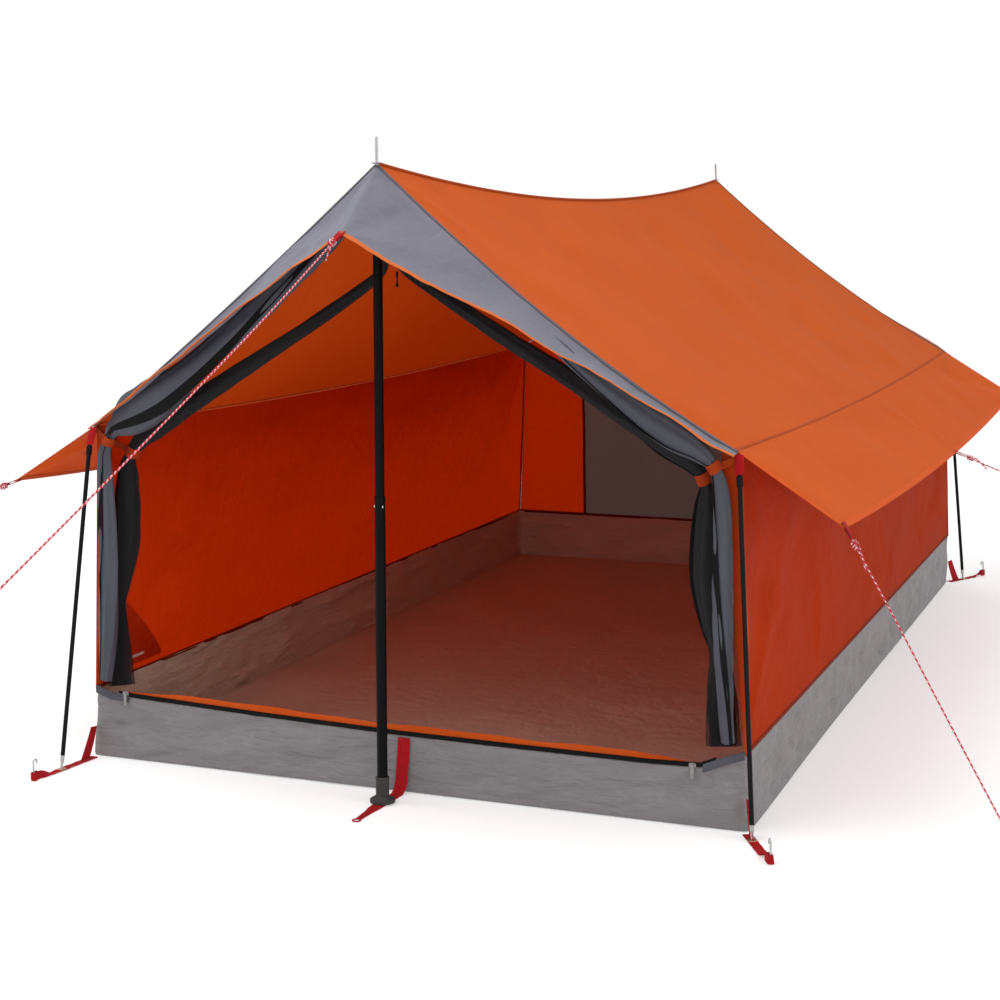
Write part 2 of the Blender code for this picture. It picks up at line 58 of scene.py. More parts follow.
heading, dip, cant = (math.radians(a) for a in (-22.805, 6.668, -0.415))
ahead = np.array((math.sin(heading) * math.cos(dip), math.cos(heading) * math.cos(dip), -math.sin(dip)))
level = np.array((math.cos(heading), -math.sin(heading), 0.0))
upright = np.cross(level, ahead)
sideways = level * math.cos(cant) + upright * math.sin(cant)
upright = upright * math.cos(cant) - level * math.sin(cant)


def set_down(thing, right, up, back, place):
    """Puts a camera or a lamp at place, with its own right, up and back along these directions."""
    thing.matrix_world = Matrix([(right[i], up[i], back[i], place[i]) for i in range(3)] + [(0, 0, 0, 1)])


set_down(camera, sideways, upright, -ahead, (1.4046, -4.3559, 1.0609))

# ---------------- light
# A white studio: an even bright surround, a softbox high over the left front corner, and a weaker
# one to the right that lights the long side and leaves the end with the door a little darker.
scene.view_settings.view_transform = "Standard"
scene.view_settings.look = "None"
surround = bpy.data.worlds.new("white_surround")
surround.use_nodes = True
glow = surround.node_tree.nodes["Background"].inputs
glow["Color"].default_value, glow["Strength"].default_value = (1.0, 1.0, 1.0, 1.0), 1.0
scene.world = surround


def softbox(name, place, target, size, watts):
    """A square area lamp at place, its face turned to target."""
    lamp = bpy.data.lights.new(name, "AREA")
    lamp.shape, lamp.size, lamp.energy = "SQUARE", size, watts
    holder = bpy.data.objects.new(name, lamp)
    scene.collection.objects.link(holder)
    back = np.array(place, float) - np.array(target, float)
    back /= np.linalg.norm(back)
    over = np.cross((0.0, 0.0, 1.0) if abs(back[2]) < 0.99 else (0.0, 1.0, 0.0), back)
    over /= np.linalg.norm(over)
    set_down(holder, over, np.cross(back, over), back, place)


softbox("overhead_softbox", (-1.1, -1.9, 4.4), (0.0, -0.5, 0.6), 2.6, 95.0)
softbox("right_softbox", (4.6, -1.6, 1.8), (0.6, -0.2, 0.2), 2.0, 26.0)


# ---------------- floor
# A sheet of pale matt card under the tent, far larger than the view. It glows a little of its own,
# so that it stays white as far as the lamps' light falls off.
class Wire:
    """One output in a material. Sums and products of wires and numbers add Math nodes."""

    def __init__(self, bench, socket):
        self.bench, self.socket = bench, socket

    def maths(self, operation, *values):
        return self.bench.node("ShaderNodeMath", {"operation": operation}, dict(enumerate(values)))

    def __add__(self, other):
        return self.maths("ADD", self, other)

    def __sub__(self, other):
        return self.maths("SUBTRACT", self, other)

    def __rsub__(self, other):
        return self.maths("SUBTRACT", other, self)

    def __mul__(self, other):
        return self.maths("MULTIPLY", self, other)

    def __truediv__(self, other):
        return self.maths("DIVIDE", self, other)

    def sine(self):
        return self.maths("SINE", self)

    def size(self):
        return self.maths("ABSOLUTE", self)

    def above(self, limit):
        return self.maths("GREATER_THAN", self, limit)

    __radd__, __rmul__ = __add__, __mul__


class Finish:
    """A material under construction; node() adds one node of any type and gives its output."""

    def __init__(self, name):
        self.material = bpy.data.materials.new(name)
        self.material.use_nodes = True
        self.tree = self.material.node_tree
        self.tree.nodes.clear()

    def node(self, kind, settings=None, values=None, output=0):
        made = self.tree.nodes.new(kind)
        for key, value in (settings or {}).items():
            if key == "stops":
                ramp = made.color_ramp
                while len(ramp.elements) < len(value):
                    ramp.elements.new(1.0)
                for stop, (at, shade) in zip(ramp.elements, value):
                    stop.position, stop.color = at, (shade, shade, shade, 1.0)
            else:
                setattr(made, key, value)
        for key, value in (values or {}).items():
            if isinstance(value, Wire):
                self.tree.links.new(value.socket, made.inputs[key])
            elif isinstance(value, tuple) and made.inputs[key].type == "RGBA":
                made.inputs[key].default_value = (*value, 1.0)
            else:
                made.inputs[key].default_value = value
        return Wire(self, made.outputs[output] if made.outputs else None)

    def place(self, scale=(1.0, 1.0, 1.0), cloth=False):
        """Object coordinates, or the cloth's own measure in metres, times scale."""
        if cloth:
            where = self.node("ShaderNodeUVMap", {"uv_map": "cloth"})
        else:
            where = self.node("ShaderNodeTexCoord", output=3)
        return self.node("ShaderNodeMapping", None, {"Vector": where, "Scale": scale})

    def measure(self):
        """The cloth's own measure in metres: across the piece, and along it."""
        where = self.node("ShaderNodeUVMap", {"uv_map": "cloth"})
        apart = self.node("ShaderNodeSeparateXYZ", None, {"Vector": where})
        return apart, Wire(self, apart.socket.node.outputs[1])

    def clouds(self, scale, detail=2.0, stretch=(1.0, 1.0, 1.0), cloth=False, rough=0.5):
        """Soft noise from 0 to 1, scale blots to a metre."""
        return self.node("ShaderNodeTexNoise", None, {
            "Vector": self.place(stretch, cloth), "Scale": scale, "Detail": detail, "Roughness": rough})

    def ramp(self, value, *stops):
        return self.node("ShaderNodeValToRGB", {"stops": stops}, {"Fac": value})

    def blend(self, share, first, second):
        """A colour between first and second."""
        return self.node("ShaderNodeMix", {"data_type": "RGBA"}, {0: share, 6: first, 7: second}, 2)

    def bump(self, height, depth, strength=1.0, over=None):
        """Relief of this depth in metres, over another bump where one is given."""
        values = {"Height": height, "Distance": depth, "Strength": strength}
        return self.node("ShaderNodeBump", None, {**values, "Normal": over} if over else values)

    def weave(self, threads):
        """Plain weave from -1 to 1: sine times sine of the cloth's measure, threads radians to a metre."""
        across, along = self.measure()
        return (across * threads).sine() * (along * threads).sine()

    def surface(self, through=None, share=0.0, **values):
        """The Principled shader with these values, and with a share of light let through in colour through."""
        named = {key.replace("_", " "): value for key, value in values.items()}
        shader = self.node("ShaderNodeBsdfPrincipled", None, named)
        if through:
            lit = {"Color": through}
            if "Normal" in named:
                lit["Normal"] = named["Normal"]
            behind = self.node("ShaderNodeBsdfTranslucent", None, lit)
            shader = self.node("ShaderNodeMixShader", None, {0: share, 1: shader, 2: behind})
        self.node("ShaderNodeOutputMaterial", None, {"Surface": shader})
        return self.material


def pale_card():
    card = Finish("pale_card")
    shade = card.blend(card.clouds(0.6), (0.68, 0.68, 0.68), (0.72, 0.72, 0.72))
    return card.surface(Base_Color=shade, Roughness=0.9, Specular_IOR_Level=0.1, Emission_Color=shade,
                        Emission_Strength=0.48)


ground_mesh = bpy.data.meshes.new("studio_floor")
ground_mesh.from_pydata([(-40, -40, 0), (40, -40, 0), (40, 40, 0), (-40, 40, 0)], [], [(0, 1, 2, 3)])
ground = bpy.data.objects.new("studio_floor", ground_mesh)
scene.collection.objects.link(ground)
ground_mesh.materials.append(pale_card())


# ---------------- guy ropes
# Braided polyester cord, 3 mm, red with white tracer threads. Each is knotted to a webbing loop
# on the flysheet and pulled taut to the ground; its far end is tied off in a knot.
ROPE, GIRTH = 0.0030, 0.0094        # across, and round


def travel_of(line):
    """How far along a line each of its points lies: the running sum of its steps."""
    return np.r_[0.0, np.cumsum(np.linalg.norm(np.diff(line, axis=0), axis=1))]


def points(x, y, z):
    """Points from their three coordinates, each a number or an array."""
    return np.stack(np.broadcast_arrays(x, y, z), -1)


def smooth_line(route, count):
    """count points, evenly apart, on a Catmull-Rom curve: a cubic through the route's points whose
    slope at each is half the step between its neighbours.
    """
    knots = np.array(route, float)
    knots = np.vstack([2 * knots[0] - knots[1], knots, 2 * knots[-1] - knots[-2]])
    t = np.linspace(0.0, 1.0, 60, endpoint=False)[None, :, None]
    p0, p1, p2, p3 = (knots[i:len(knots) - 3 + i, None, :] for i in range(4))
    curve = 0.5 * (2 * p1 + (p2 - p0) * t + (2 * p0 - 5 * p1 + 4 * p2 - p3) * t**2
                   + (3 * p1 - 3 * p2 + p3 - p0) * t**3)
    curve = np.vstack([curve.reshape(-1, knots.shape[1]), knots[-2]])
    travel = travel_of(curve[:, :3])
    goal = np.linspace(0.0, travel[-1], count)
    return np.stack([np.interp(goal, travel, curve[:, i]) for i in range(curve.shape[1])], 1)


def skin(name, grid, finish, body, wrap=False, capped=False, cloth=None):
    """A mesh with a point for each grid[row, column] and a four-sided face between neighbours, facing
    the way (next column) x (next row). wrap joins the last column to the first, capped closes both
    ends. The map named cloth holds the travel across and along in metres, or what cloth gives.
    """
    rows, columns = grid.shape[:2]
    number = np.arange(rows * columns).reshape(rows, columns)
    laid = grid
    if wrap:
        number, laid = np.c_[number, number[:, :1]], np.concatenate([grid, grid[:, :1]], 1)
    if cloth is None:
        over = np.linalg.norm(np.diff(laid, axis=1), axis=2).mean(0)
        down = np.linalg.norm(np.diff(laid, axis=0), axis=2).mean(1)
        cloth = np.meshgrid(np.r_[0.0, np.cumsum(over)], np.r_[0.0, np.cumsum(down)])
    cloth = np.stack([np.broadcast_to(c, number.shape) for c in cloth], -1)

    def corners(of):
        return np.stack([of[:-1, :-1], of[:-1, 1:], of[1:, 1:], of[1:, :-1]], 2)

    faces = corners(number).reshape(-1, 4).tolist()
    chart = corners(cloth).reshape(-1, 2)
    if capped:
        faces += [number[0, :columns].tolist()[::-1], number[-1, :columns].tolist()]
        chart = np.vstack([chart, cloth[0, :columns][::-1], cloth[-1, :columns]])
    mesh = bpy.data.meshes.new(name)
    mesh.from_pydata(grid.reshape(-1, 3).tolist(), [], faces)
    mesh.uv_layers.new(name="cloth").data.foreach_set("uv", chart.astype(np.float32).ravel())
    mesh.shade_smooth()
    mesh.materials.append(finish)
    piece = bpy.data.objects.new(name, mesh)
    scene.collection.objects.link(piece)
    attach(piece, body)
    return piece


def unit(vectors):
    """Each vector divided by its length."""
    return vectors / np.maximum(np.linalg.norm(vectors, axis=-1, keepdims=True), 1e-12)


def rings(line, out, side, radius, sides):
    """A circle of points round each point of a line: radius times its cosine along out and its sine
    along side.
    """
    angle = np.linspace(0.0, 2 * np.pi, sides, endpoint=False)[None, :, None]
    return line[:, None] + radius * (np.cos(angle) * out[:, None] + np.sin(angle) * side[:, None])


def rod_grid(line, radius, sides):
    """Rings round a line: each point is the line's, plus radius times the turning normal, which is
    carried along without twist by taking off its part along the line.
    """
    line = np.array(line, float)
    along = unit(np.gradient(line, axis=0))
    out = np.zeros_like(along)
    held = np.cross(along[0], (0.0, 0.0, 1.0))
    held = held if np.linalg.norm(held) > 0.1 else np.cross(along[0], (1.0, 0.0, 0.0))
    for i, step in enumerate(along):
        held = unit(held - step * (held @ step))
        out[i] = held
    radius = np.broadcast_to(np.asarray(radius, float), (len(line),))[:, None, None]
    return rings(line, out, np.cross(along, out), radius, sides)


def rope_chart(line, sides, girth):
    """The cloth map of a rope: 0 to girth round it, and the travel along it."""
    return np.meshgrid(np.linspace(0.0, girth, sides + 1), travel_of(line))


def rod(name, line, radius, sides, finish, body, girth=None):
    """A round bar, cord or tube along a line, closed at both ends; girth is for a cloth map as a rope has."""
    chart = rope_chart(line, sides, girth) if girth else None
    return skin(name, rod_grid(line, radius, sides), finish, body, True, True, chart)


def braided_cord():
    """Strands cross in two spirals: bump is the product of two slanting sine waves. The tracer is a
    band that winds round twice as slowly, shown only where its own strands lie on top.
    """
    cord = Finish("braided_cord")
    round_it, along = cord.measure()
    turn = round_it * (2 * math.pi / GIRTH)
    left, right = (turn * 3 + along * 1900.0).sine(), (turn * 3 - along * 1900.0).sine()
    tracer = (turn + along * 560.0).sine().above(0.25) * (turn * 2 - along * 1120.0).sine().above(-0.35)
    fleck = cord.clouds(700.0, cloth=True)
    red = cord.blend(fleck, (0.46, 0.012, 0.030), (0.62, 0.026, 0.050))
    dyed = cord.blend(tracer, red, (0.86, 0.72, 0.72))
    return cord.surface(Base_Color=dyed, Roughness=0.62 + 0.16 * fleck, Specular_IOR_Level=0.15, Sheen_Weight=0.05,
                        Normal=cord.bump(left * right + fleck, 0.0004))


CORD = braided_cord()
FRONT_PULL = np.array((0.0, -0.924, -0.390)) / math.hypot(0.924, 0.390)
CORNER_PULL = np.array((0.300, 0.0, -0.536)) / math.hypot(0.300, 0.536)
SIDE_PULL = np.array((0.90, 0.0, -0.34)) / math.hypot(0.90, 0.34)
TAB_REACH = 0.0214
HEM_OUT, HEM_END, HEM_HIGH = 0.813, 1.213, 0.542        # the flysheet's pulled-out corners
MID_BACK, MID_HIGH = 0.0976, 0.5122                     # and the middle of its hem
# Where each webbing loop leaves the flysheet, and the way that its rope pulls.
LOOPS = {"hood_front": ((0.0, -1.424, 1.025), FRONT_PULL), "hood_rear": ((0.0, 1.212, 1.025), FRONT_PULL * (1, -1, 1))}
for label, side in (("right", 1), ("left", -1)):
    for place, y, z in (("front", -HEM_END, HEM_HIGH), ("mid", MID_BACK, MID_HIGH), ("rear", HEM_END, HEM_HIGH)):
        LOOPS[f"{label}_{place}"] = ((side * HEM_OUT, y, z), SIDE_PULL * (side, 1, 1))
LOOPS["right_front"] = (LOOPS["right_front"][0], CORNER_PULL)
# The loop that each rope leaves, and the points that it passes on its way down.
ROUTES = {
    "front": ("hood_front", ((0.0, -1.680, 0.908), (0.0, -1.917, 0.806), (0.0, -2.200, 0.688),
                             (0.0, -2.440, 0.590))),
    "right_front": ("right_front", ((0.905, -1.213, 0.378), (0.990, -1.213, 0.223), (1.112, -1.213, 0.003))),
    "right_mid": ("right_mid", ((0.880, 0.098, 0.485), (0.960, 0.098, 0.455))),
    "left_front": ("left_front", ((-0.850, -1.213, 0.530), (-0.900, -1.213, 0.511))),
}


def hitch(name, at, pull, lean):
    """The knot by the loop: the rope wound three turns round itself, out to a loose tail that points
    down lean.
    """
    aside = unit(np.cross(pull, lean))
    third = np.cross(pull, aside)
    t = np.linspace(0.0, 1.0, 90)[:, None]
    wind = 2 * np.pi * 3.2 * t
    swell = 0.0040 + 0.0016 * np.sin(np.pi * t)
    coil = at + pull * (0.004 + 0.016 * t) + swell * (np.cos(wind) * aside + np.sin(wind) * third)
    s = np.linspace(0.0, 1.0, 40)[1:, None]
    tail = coil[-1] + pull * (0.016 * s) + unit(lean) * (0.026 * s**1.5) + 0.003 * np.sin(5 * s) * aside
    line = smooth_line(np.vstack([coil[::3], tail[::6]]), 120)
    return rod(name, line, ROPE * 0.46, 10, CORD, "tent", GIRTH)


def end_knot(name, at, pull):
    """A figure-of-eight's lump at a rope's far end: a trefoil curve, (2 + cos 3t) round and sin 3t
    along the pull.
    """
    aside = unit(np.cross(pull, (0.0, 0.0, 1.0)) + 1e-6)
    third = np.cross(pull, aside)
    t = np.linspace(0.0, 2 * np.pi, 90, endpoint=False)[:, None]
    lobe = 0.0016
    ring = (at - pull * 0.004 + lobe * ((2 + np.cos(3 * t)) * (np.cos(2 * t) * aside + np.sin(2 * t) * third)
                                        + 1.6 * np.sin(3 * t) * pull))
    along = unit(np.roll(ring, -1, 0) - np.roll(ring, 1, 0))
    out = unit(np.cross(along, pull))
    grid = rings(ring, out, np.cross(along, out), 0.0013, 8)
    chart = rope_chart(np.vstack([ring, ring[:1]]), 8, GIRTH)
    return skin(name, np.concatenate([grid, grid[:1]], 0), CORD, "tent", True, False, chart)


for label, (loop, rest) in ROUTES.items():
    root, pull = LOOPS[loop]
    leaves = np.array(root) + pull * TAB_REACH
    sparse = smooth_line([leaves, *rest], 200)
    length = float(np.linalg.norm(np.diff(sparse, axis=0), axis=1).sum())
    line = smooth_line([leaves, *rest], max(40, int(length / 0.004)))
    rope = rod("guy_cord_" + label, line, ROPE / 2, 12, CORD, "tent", GIRTH)
    lean = np.array((0.6, 0.0, -0.8) if label == "right_mid" else (0.15, -0.1, -1.0))
    knots = [hitch("guy_hitch_" + label, leaves, pull, lean),
             end_knot("guy_end_knot_" + label, line[-1], unit(line[-1] - line[-3]))]
    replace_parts(rope, "guy_rope_" + label)
    line[::4].tolist() + [line[-1].tolist()]


# ---------------- flysheet
# Two panels of orange coated polyester taffeta, sewn together along the ridge, hung between the
# uprights and pulled out past the walls. Folds fan out from every point that it is pulled by.


def bow(t):
    """A parabola that is 0 at 0 and at 1, and 1 half way."""
    return 4 * t * (1 - t)


EAVE_OUT, EAVE_HIGH, OVERHANG = 0.630, 0.658, 0.183
APEX = {"front": (0.0, -1.272, 1.146), "rear": (0.0, 1.060, 1.146)}     # where the poles' spikes come through


def roof(along, down, side):
    """The roof's surface, along 0 (front) to 1 (rear), down 0 (ridge), 1 (eave) and 1.3 (hem): straight
    lines from ridge to eave to hem, less a parabola's sag along each of the three and one across the
    panel, which is drawn nearly tight at the left front.
    """
    above, below = np.minimum(down, 1.0), np.maximum(down - 1.0, 0.0) / 0.3
    front = APEX["front"][1] + 0.066 * above - 0.014 * below
    rear = APEX["rear"][1] + 0.146 * above + 0.014 * below
    ridge, eave = APEX["front"][2] - 0.060 * bow(along), EAVE_HIGH - 0.020 * bow(along)
    hem = HEM_HIGH - 0.030 * bow(along)
    slack = 0.030 - 0.022 * (np.asarray(side) < 0) * (1 - along) ** 2
    high = np.where(below > 0, eave + (hem - eave) * below, ridge + (eave - ridge) * above - slack * bow(above))
    out = side * (EAVE_OUT * above + OVERHANG * below)
    return points(out, front + (rear - front) * along, high)


def facing(grid):
    """The surface's normal at each grid point, (next column) x (next row)."""
    return unit(np.cross(np.gradient(grid, axis=1), np.gradient(grid, axis=0)))


def ripple(grid, wave, height, seed, stretch=(1.0, 1.0, 1.0), crease=0.0):
    """Soft unevenness: the mean of 14 sine waves of seeded directions and lengths near wave. crease
    from 0 to 1 folds the crests into ridges, 1 - 2 |h|.
    """
    draw = np.random.default_rng(seed)
    ways = unit(draw.normal(size=(14, 3))) * 2 * np.pi / (wave * draw.uniform(0.6, 1.7, (14, 1)))
    h = np.sin((grid * np.array(stretch)) @ ways.T + draw.uniform(0, 2 * np.pi, 14)).sum(-1) / 3.7
    return height * ((1 - crease) * h + crease * (0.55 - np.abs(h)))


def fan(grid, at, toward, spread, reach, count, height, seed):
    """Tension folds that fan out from at around the way toward: a cosine of the bearing, count folds to
    a radian, that grows to height at reach and fades beyond it and off to the sides.
    """
    draw = np.random.default_rng(seed)
    away = grid - np.array(at)
    middle = np.unravel_index(np.argmin(np.linalg.norm(away, axis=-1)), grid.shape[:2])
    up = facing(grid)[middle]
    ahead_of = unit(np.array(toward, float) - up * (np.array(toward, float) @ up))
    beside = np.cross(up, ahead_of)
    far = np.linalg.norm(away, axis=-1)
    bearing = np.arctan2(away @ beside, away @ ahead_of)
    swell = far / reach * np.exp(1 - far / reach) * np.exp(-(bearing / spread) ** 2)
    folds = sum(np.cos(count * k * bearing + draw.uniform(0, 6.28)) / k for k in (0.6, 1.0, 1.7))
    return height * swell * folds / 1.6


THREADS = 5200.0            # radians to a metre, a thread every 1.2 mm


def taffeta(name, colour, deep, through, share, sheen=0.0, rough=0.52, wrinkle=0.0012, gloss=0.02):
    """Plain-woven coated cloth. Threads: bump of sin x sin, one wave to a thread. Colour drifts between
    colour and deep in long slubs and in soft blots; creases too fine for the mesh are a noise folded at
    its middle.
    """
    cloth = Finish(name)
    slub = cloth.clouds(1.0, 2.0, (30.0, 900.0, 1.0), cloth=True)
    blots = cloth.clouds(7.0, 3.0)
    crease = (cloth.clouds(11.0, 3.0, rough=0.6) - 0.5).size()
    fine = (cloth.clouds(34.0, 2.0) - 0.5).size()
    tone = cloth.ramp(blots * 0.7 + slub * 0.3, (0.25, 0.0), (0.75, 1.0))
    dyed = cloth.blend(tone, deep, colour)
    folds = cloth.bump(crease * 1.0 + fine * 0.35, wrinkle * 4)
    woven = cloth.bump(cloth.weave(THREADS) + slub * 0.5, 0.00012, 0.6, folds)
    return cloth.surface(through, share, Base_Color=dyed, Roughness=rough + 0.14 * blots, Specular_IOR_Level=gloss,
                         Sheen_Weight=sheen, Normal=woven)


FLY_CLOTH = taffeta("fly_orange_taffeta", (0.53, 0.096, 0.014), (0.46, 0.078, 0.010), (0.92, 0.075, 0.003), 0.13)
ROWS, COLUMNS = 300, 126


def fly_panel(side, seed):
    """One side of the roof, lifted along its normal by ripples, by folds that fan out from each point
    it is pulled by, and by a fine pucker along the eave's seam; the lift fades out at the ridge, the
    ends and the hem.
    """
    along, down = np.meshgrid(np.linspace(0, 1, ROWS), np.linspace(0, 1.3, COLUMNS), indexing="ij")
    grid = roof(along, down, side)
    if side < 0:
        grid = grid[::-1]
    hang = np.clip(np.minimum(bow(along), 0.3) / 0.3, 0, 1) * np.clip(bow(down / 1.3) / 0.4, 0, 1)
    lift = hang * (ripple(grid, 0.34, 0.0045, seed) + ripple(grid, 0.13, 0.0012, seed + 1, (1, 0.5, 1), 0.5))
    for place, toward, spread, reach, height in (
            (APEX["front"], (side, 1.1, -0.8), 0.75, 0.30, 0.0030),
            (APEX["rear"], (side, -1.2, -0.8), 0.75, 0.26, 0.0030),
            ((side * HEM_OUT, -HEM_END, HEM_HIGH), (-side * 0.8, 1.0, 0.4), 0.8, 0.22, 0.0042),
            ((side * HEM_OUT, 0.098, 0.512), (-side, 0.0, 0.5), 0.9, 0.15, 0.0024),
            ((side * HEM_OUT, HEM_END, HEM_HIGH), (-side * 0.8, -1.0, 0.4), 0.8, 0.20, 0.0036),
            ((side * EAVE_OUT, -1.206, EAVE_HIGH), (-side * 0.4, 1.0, 0.2), 0.7, 0.20, 0.0026)):
        seed += 1
        lift = lift + fan(grid, place, toward, spread, reach, 7.0, height, seed)
    lift = lift * (1 - np.exp(-((down - 1.0) / 0.05) ** 2))
    pucker = np.exp(-((down - 1.0) / 0.035) ** 2) * np.sin(grid[..., 1] * 190 + 3 * np.sin(grid[..., 1] * 23))
    lift = lift + 0.0007 * pucker * np.clip(bow(along) * 4, 0, 1)
    edge = np.clip(np.minimum(along, 1 - along) / 0.012, 0, 1) * np.clip(down / 0.03, 0, 1)
    return grid + facing(grid) * (lift * edge)[..., None]


def band(name, edge_a, edge_b, thick, finish, body, columns=9):
    """A narrow closed strip between two lines, as a hem, a seam, a binding or a webbing: each ring is a
    flattened oval, |cos|^0.4 across and |sin|^0.7 through, capped at both ends.
    """
    edge_a, edge_b = np.array(edge_a, float), np.array(edge_b, float)
    over = edge_b - edge_a
    normal = unit(np.cross(unit(np.gradient((edge_a + edge_b) / 2, axis=0)), over))
    angle = np.linspace(0, 2 * np.pi, 2 * columns, endpoint=False)
    wide = 0.5 + 0.5 * np.sign(np.cos(angle)) * np.abs(np.cos(angle)) ** 0.4
    deep = 0.5 * thick * np.sign(np.sin(angle)) * np.abs(np.sin(angle)) ** 0.7
    grid = edge_a[:, None] + over[:, None] * wide[None, :, None] + normal[:, None] * deep[None, :, None]
    width = np.linalg.norm(over, axis=1).mean()
    chart = np.meshgrid(np.r_[wide, wide[0]] * width, travel_of(edge_a))
    return skin(name, grid, finish, body, True, True, chart)


def trim(name, first, second, start, end, thick, finish):
    """A band along a panel's edge, from start to end in from it: first holds the edge's points, and
    second those of a line further in.
    """
    inward = unit(second - first)
    return band(name, first + inward * start, first + inward * end, thick, finish, "tent")


def ends(front_first):
    """The row of a panel's grid at its front end and at its rear end, and the step from there to the
    next row in.
    """
    return (("front", 0, 1), ("rear", -1, -1)) if front_first else (("front", -1, -1), ("rear", 0, 1))


def stitched(name, colour, deep, thread, width, through=None, share=0.0):
    """Cloth folded double and lockstitched: two rows of 3 mm stitches, each an oval dash that sits in a
    dent, run a fifth of the width in from each edge.
    """
    cloth = Finish(name)
    across, along = cloth.measure()
    row = (1 - ((across / width - 0.5).size() - 0.31).size() * (width / 0.0009)).maths("MAXIMUM", 0.0)
    dash = (along * (2 * math.pi / 0.0031)).sine() * 0.5 + 0.5
    stitch = (row * dash * 1.6).maths("MINIMUM", 1.0)
    blots = cloth.clouds(9.0, 3.0)
    dyed = cloth.blend(stitch, cloth.blend(blots, deep, colour), thread)
    pucker = (along * 260.0).sine() * (along * 97.0).sine()
    height = stitch * 0.5 - row * 0.8 + pucker * 0.6 + cloth.weave(THREADS) * 0.08
    return cloth.surface(through, share, Base_Color=dyed, Roughness=0.55 + 0.12 * blots, Specular_IOR_Level=0.03,
                         Normal=cloth.bump(height, 0.0008))


FLY_HEM = stitched("fly_orange_hem", (0.66, 0.110, 0.016), (0.56, 0.086, 0.012), (0.50, 0.07, 0.01), 0.012,
                   (0.9, 0.07, 0.003), 0.10)
FLY_SEAM = stitched("fly_orange_seam", (0.44, 0.074, 0.010), (0.37, 0.058, 0.008), (0.30, 0.045, 0.01), 0.006,
                    (0.9, 0.07, 0.003), 0.08)

FLY = {}
for label, side, seed in (("right", 1, 11), ("left", -1, 37)):
    panel = FLY[label] = fly_panel(side, seed)
    piece = skin("flysheet_" + label, panel, FLY_CLOTH, "tent")
    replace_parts(piece, "fly_" + label)
    trims = [trim("fly_hem_" + label, panel[:, -1], panel[:, -4], -0.001, 0.012, 0.0016, FLY_HEM)]
    past_eave = int(COLUMNS * 0.76)
    for name, row, step in ends(side > 0):
        trims.append(trim(f"fly_{name}_hem_{label}", panel[row, past_eave:], panel[row + 3 * step, past_eave:], -0.001,
                          0.011, 0.0016, FLY_HEM))
    low = int((COLUMNS - 1) / 1.3)
    over = facing(panel)
    line_a = panel[:, low - 1] + over[:, low - 1] * 0.0006
    line_b = line_a + unit(panel[:, low + 1] - panel[:, low - 1]) * 0.006
    trims.append(band("fly_eave_seam_" + label, line_a, line_b, 0.0012, FLY_SEAM, "tent"))

ridge_line = FLY["right"][:, 0]
rod("fly_ridge_seam", ridge_line[2:-2] + (0, 0, 0.0012), 0.0030, 14, FLY_SEAM, "tent")

# ---------------- hoods
# A grey gable at each end, sewn to the roof's edge and drawn forward to a point, so that it keeps
# rain off the door. Its free edge is bound with a folded strip of the orange cloth.
HOOD_CLOTH = taffeta("hood_grey_taffeta", (0.195, 0.195, 0.235), (0.155, 0.155, 0.190), (0.22, 0.20, 0.23), 0.10,
                     sheen=0.04, rough=0.46, wrinkle=0.0022, gloss=0.12)
BINDING = stitched("binding_orange", (0.62, 0.130, 0.030), (0.52, 0.096, 0.020), (0.66, 0.20, 0.07), 0.009,
                   (0.9, 0.09, 0.006), 0.10)

HOOD_SEAM = stitched("hood_seam", (0.150, 0.140, 0.165), (0.120, 0.110, 0.130), (0.10, 0.08, 0.09), 0.006)


def hood_grid(end, apex, seed):
    """Straight lines from the free edge (row 0) to the roof's edge (last row), the free edge itself a
    line from the point at the middle to each eave corner, cut in by a shallow curve; folds fan out from
    the top and the point.
    """
    across, high = np.meshgrid(np.linspace(0, 1, 250), np.linspace(0, 1, 44))
    out = np.abs(2 * across - 1)
    side = np.where(across > 0.5, 1.0, -1.0)
    seam = roof(0.0 if end < 0 else 1.0, out, side)
    tip = np.array((0.0, apex[1] + end * 0.152, 1.025))
    corner = points(side * EAVE_OUT, end * 1.236, 0.654)
    hem = tip + (corner - tip) * out[..., None]
    hem[..., 2] += 0.007 * bow(out) * np.clip(out * 6, 0, 1)
    grid = hem + (seam - hem) * high[..., None]
    if end > 0:
        grid = grid[:, ::-1]
    still = np.clip((1 - high) / 0.12, 0, 1) * np.clip((1 - out) / 0.05, 0, 1)
    lift = -0.010 * bow(high) * bow(np.clip(out, 0.04, 1) ** 0.7)
    lift = lift + ripple(grid, 0.16, 0.0030, seed) + ripple(grid, 0.055, 0.0011, seed + 1, (0.6, 1, 1.3), 0.7)
    for number, way in enumerate((1, -1), 2):
        lift = lift + fan(grid, apex, (way * 0.5, end * 0.3, -0.7), 0.5, 0.16, 9, 0.0026, seed + number)
    for number, way in enumerate((1, -1), 4):
        lift = lift + fan(grid, tip, (way * 0.6, -end * 0.6, 0.1), 0.6, 0.14, 8, 0.0022, seed + number)
    for way in (-1, 1):
        lift = lift + fan(grid, (way * 0.63, end * 1.225, 0.656), (-way, 0, 0.7), 0.5, 0.16, 11, 0.0020, seed + 6)
    return grid + facing(grid) * (lift * still)[..., None]


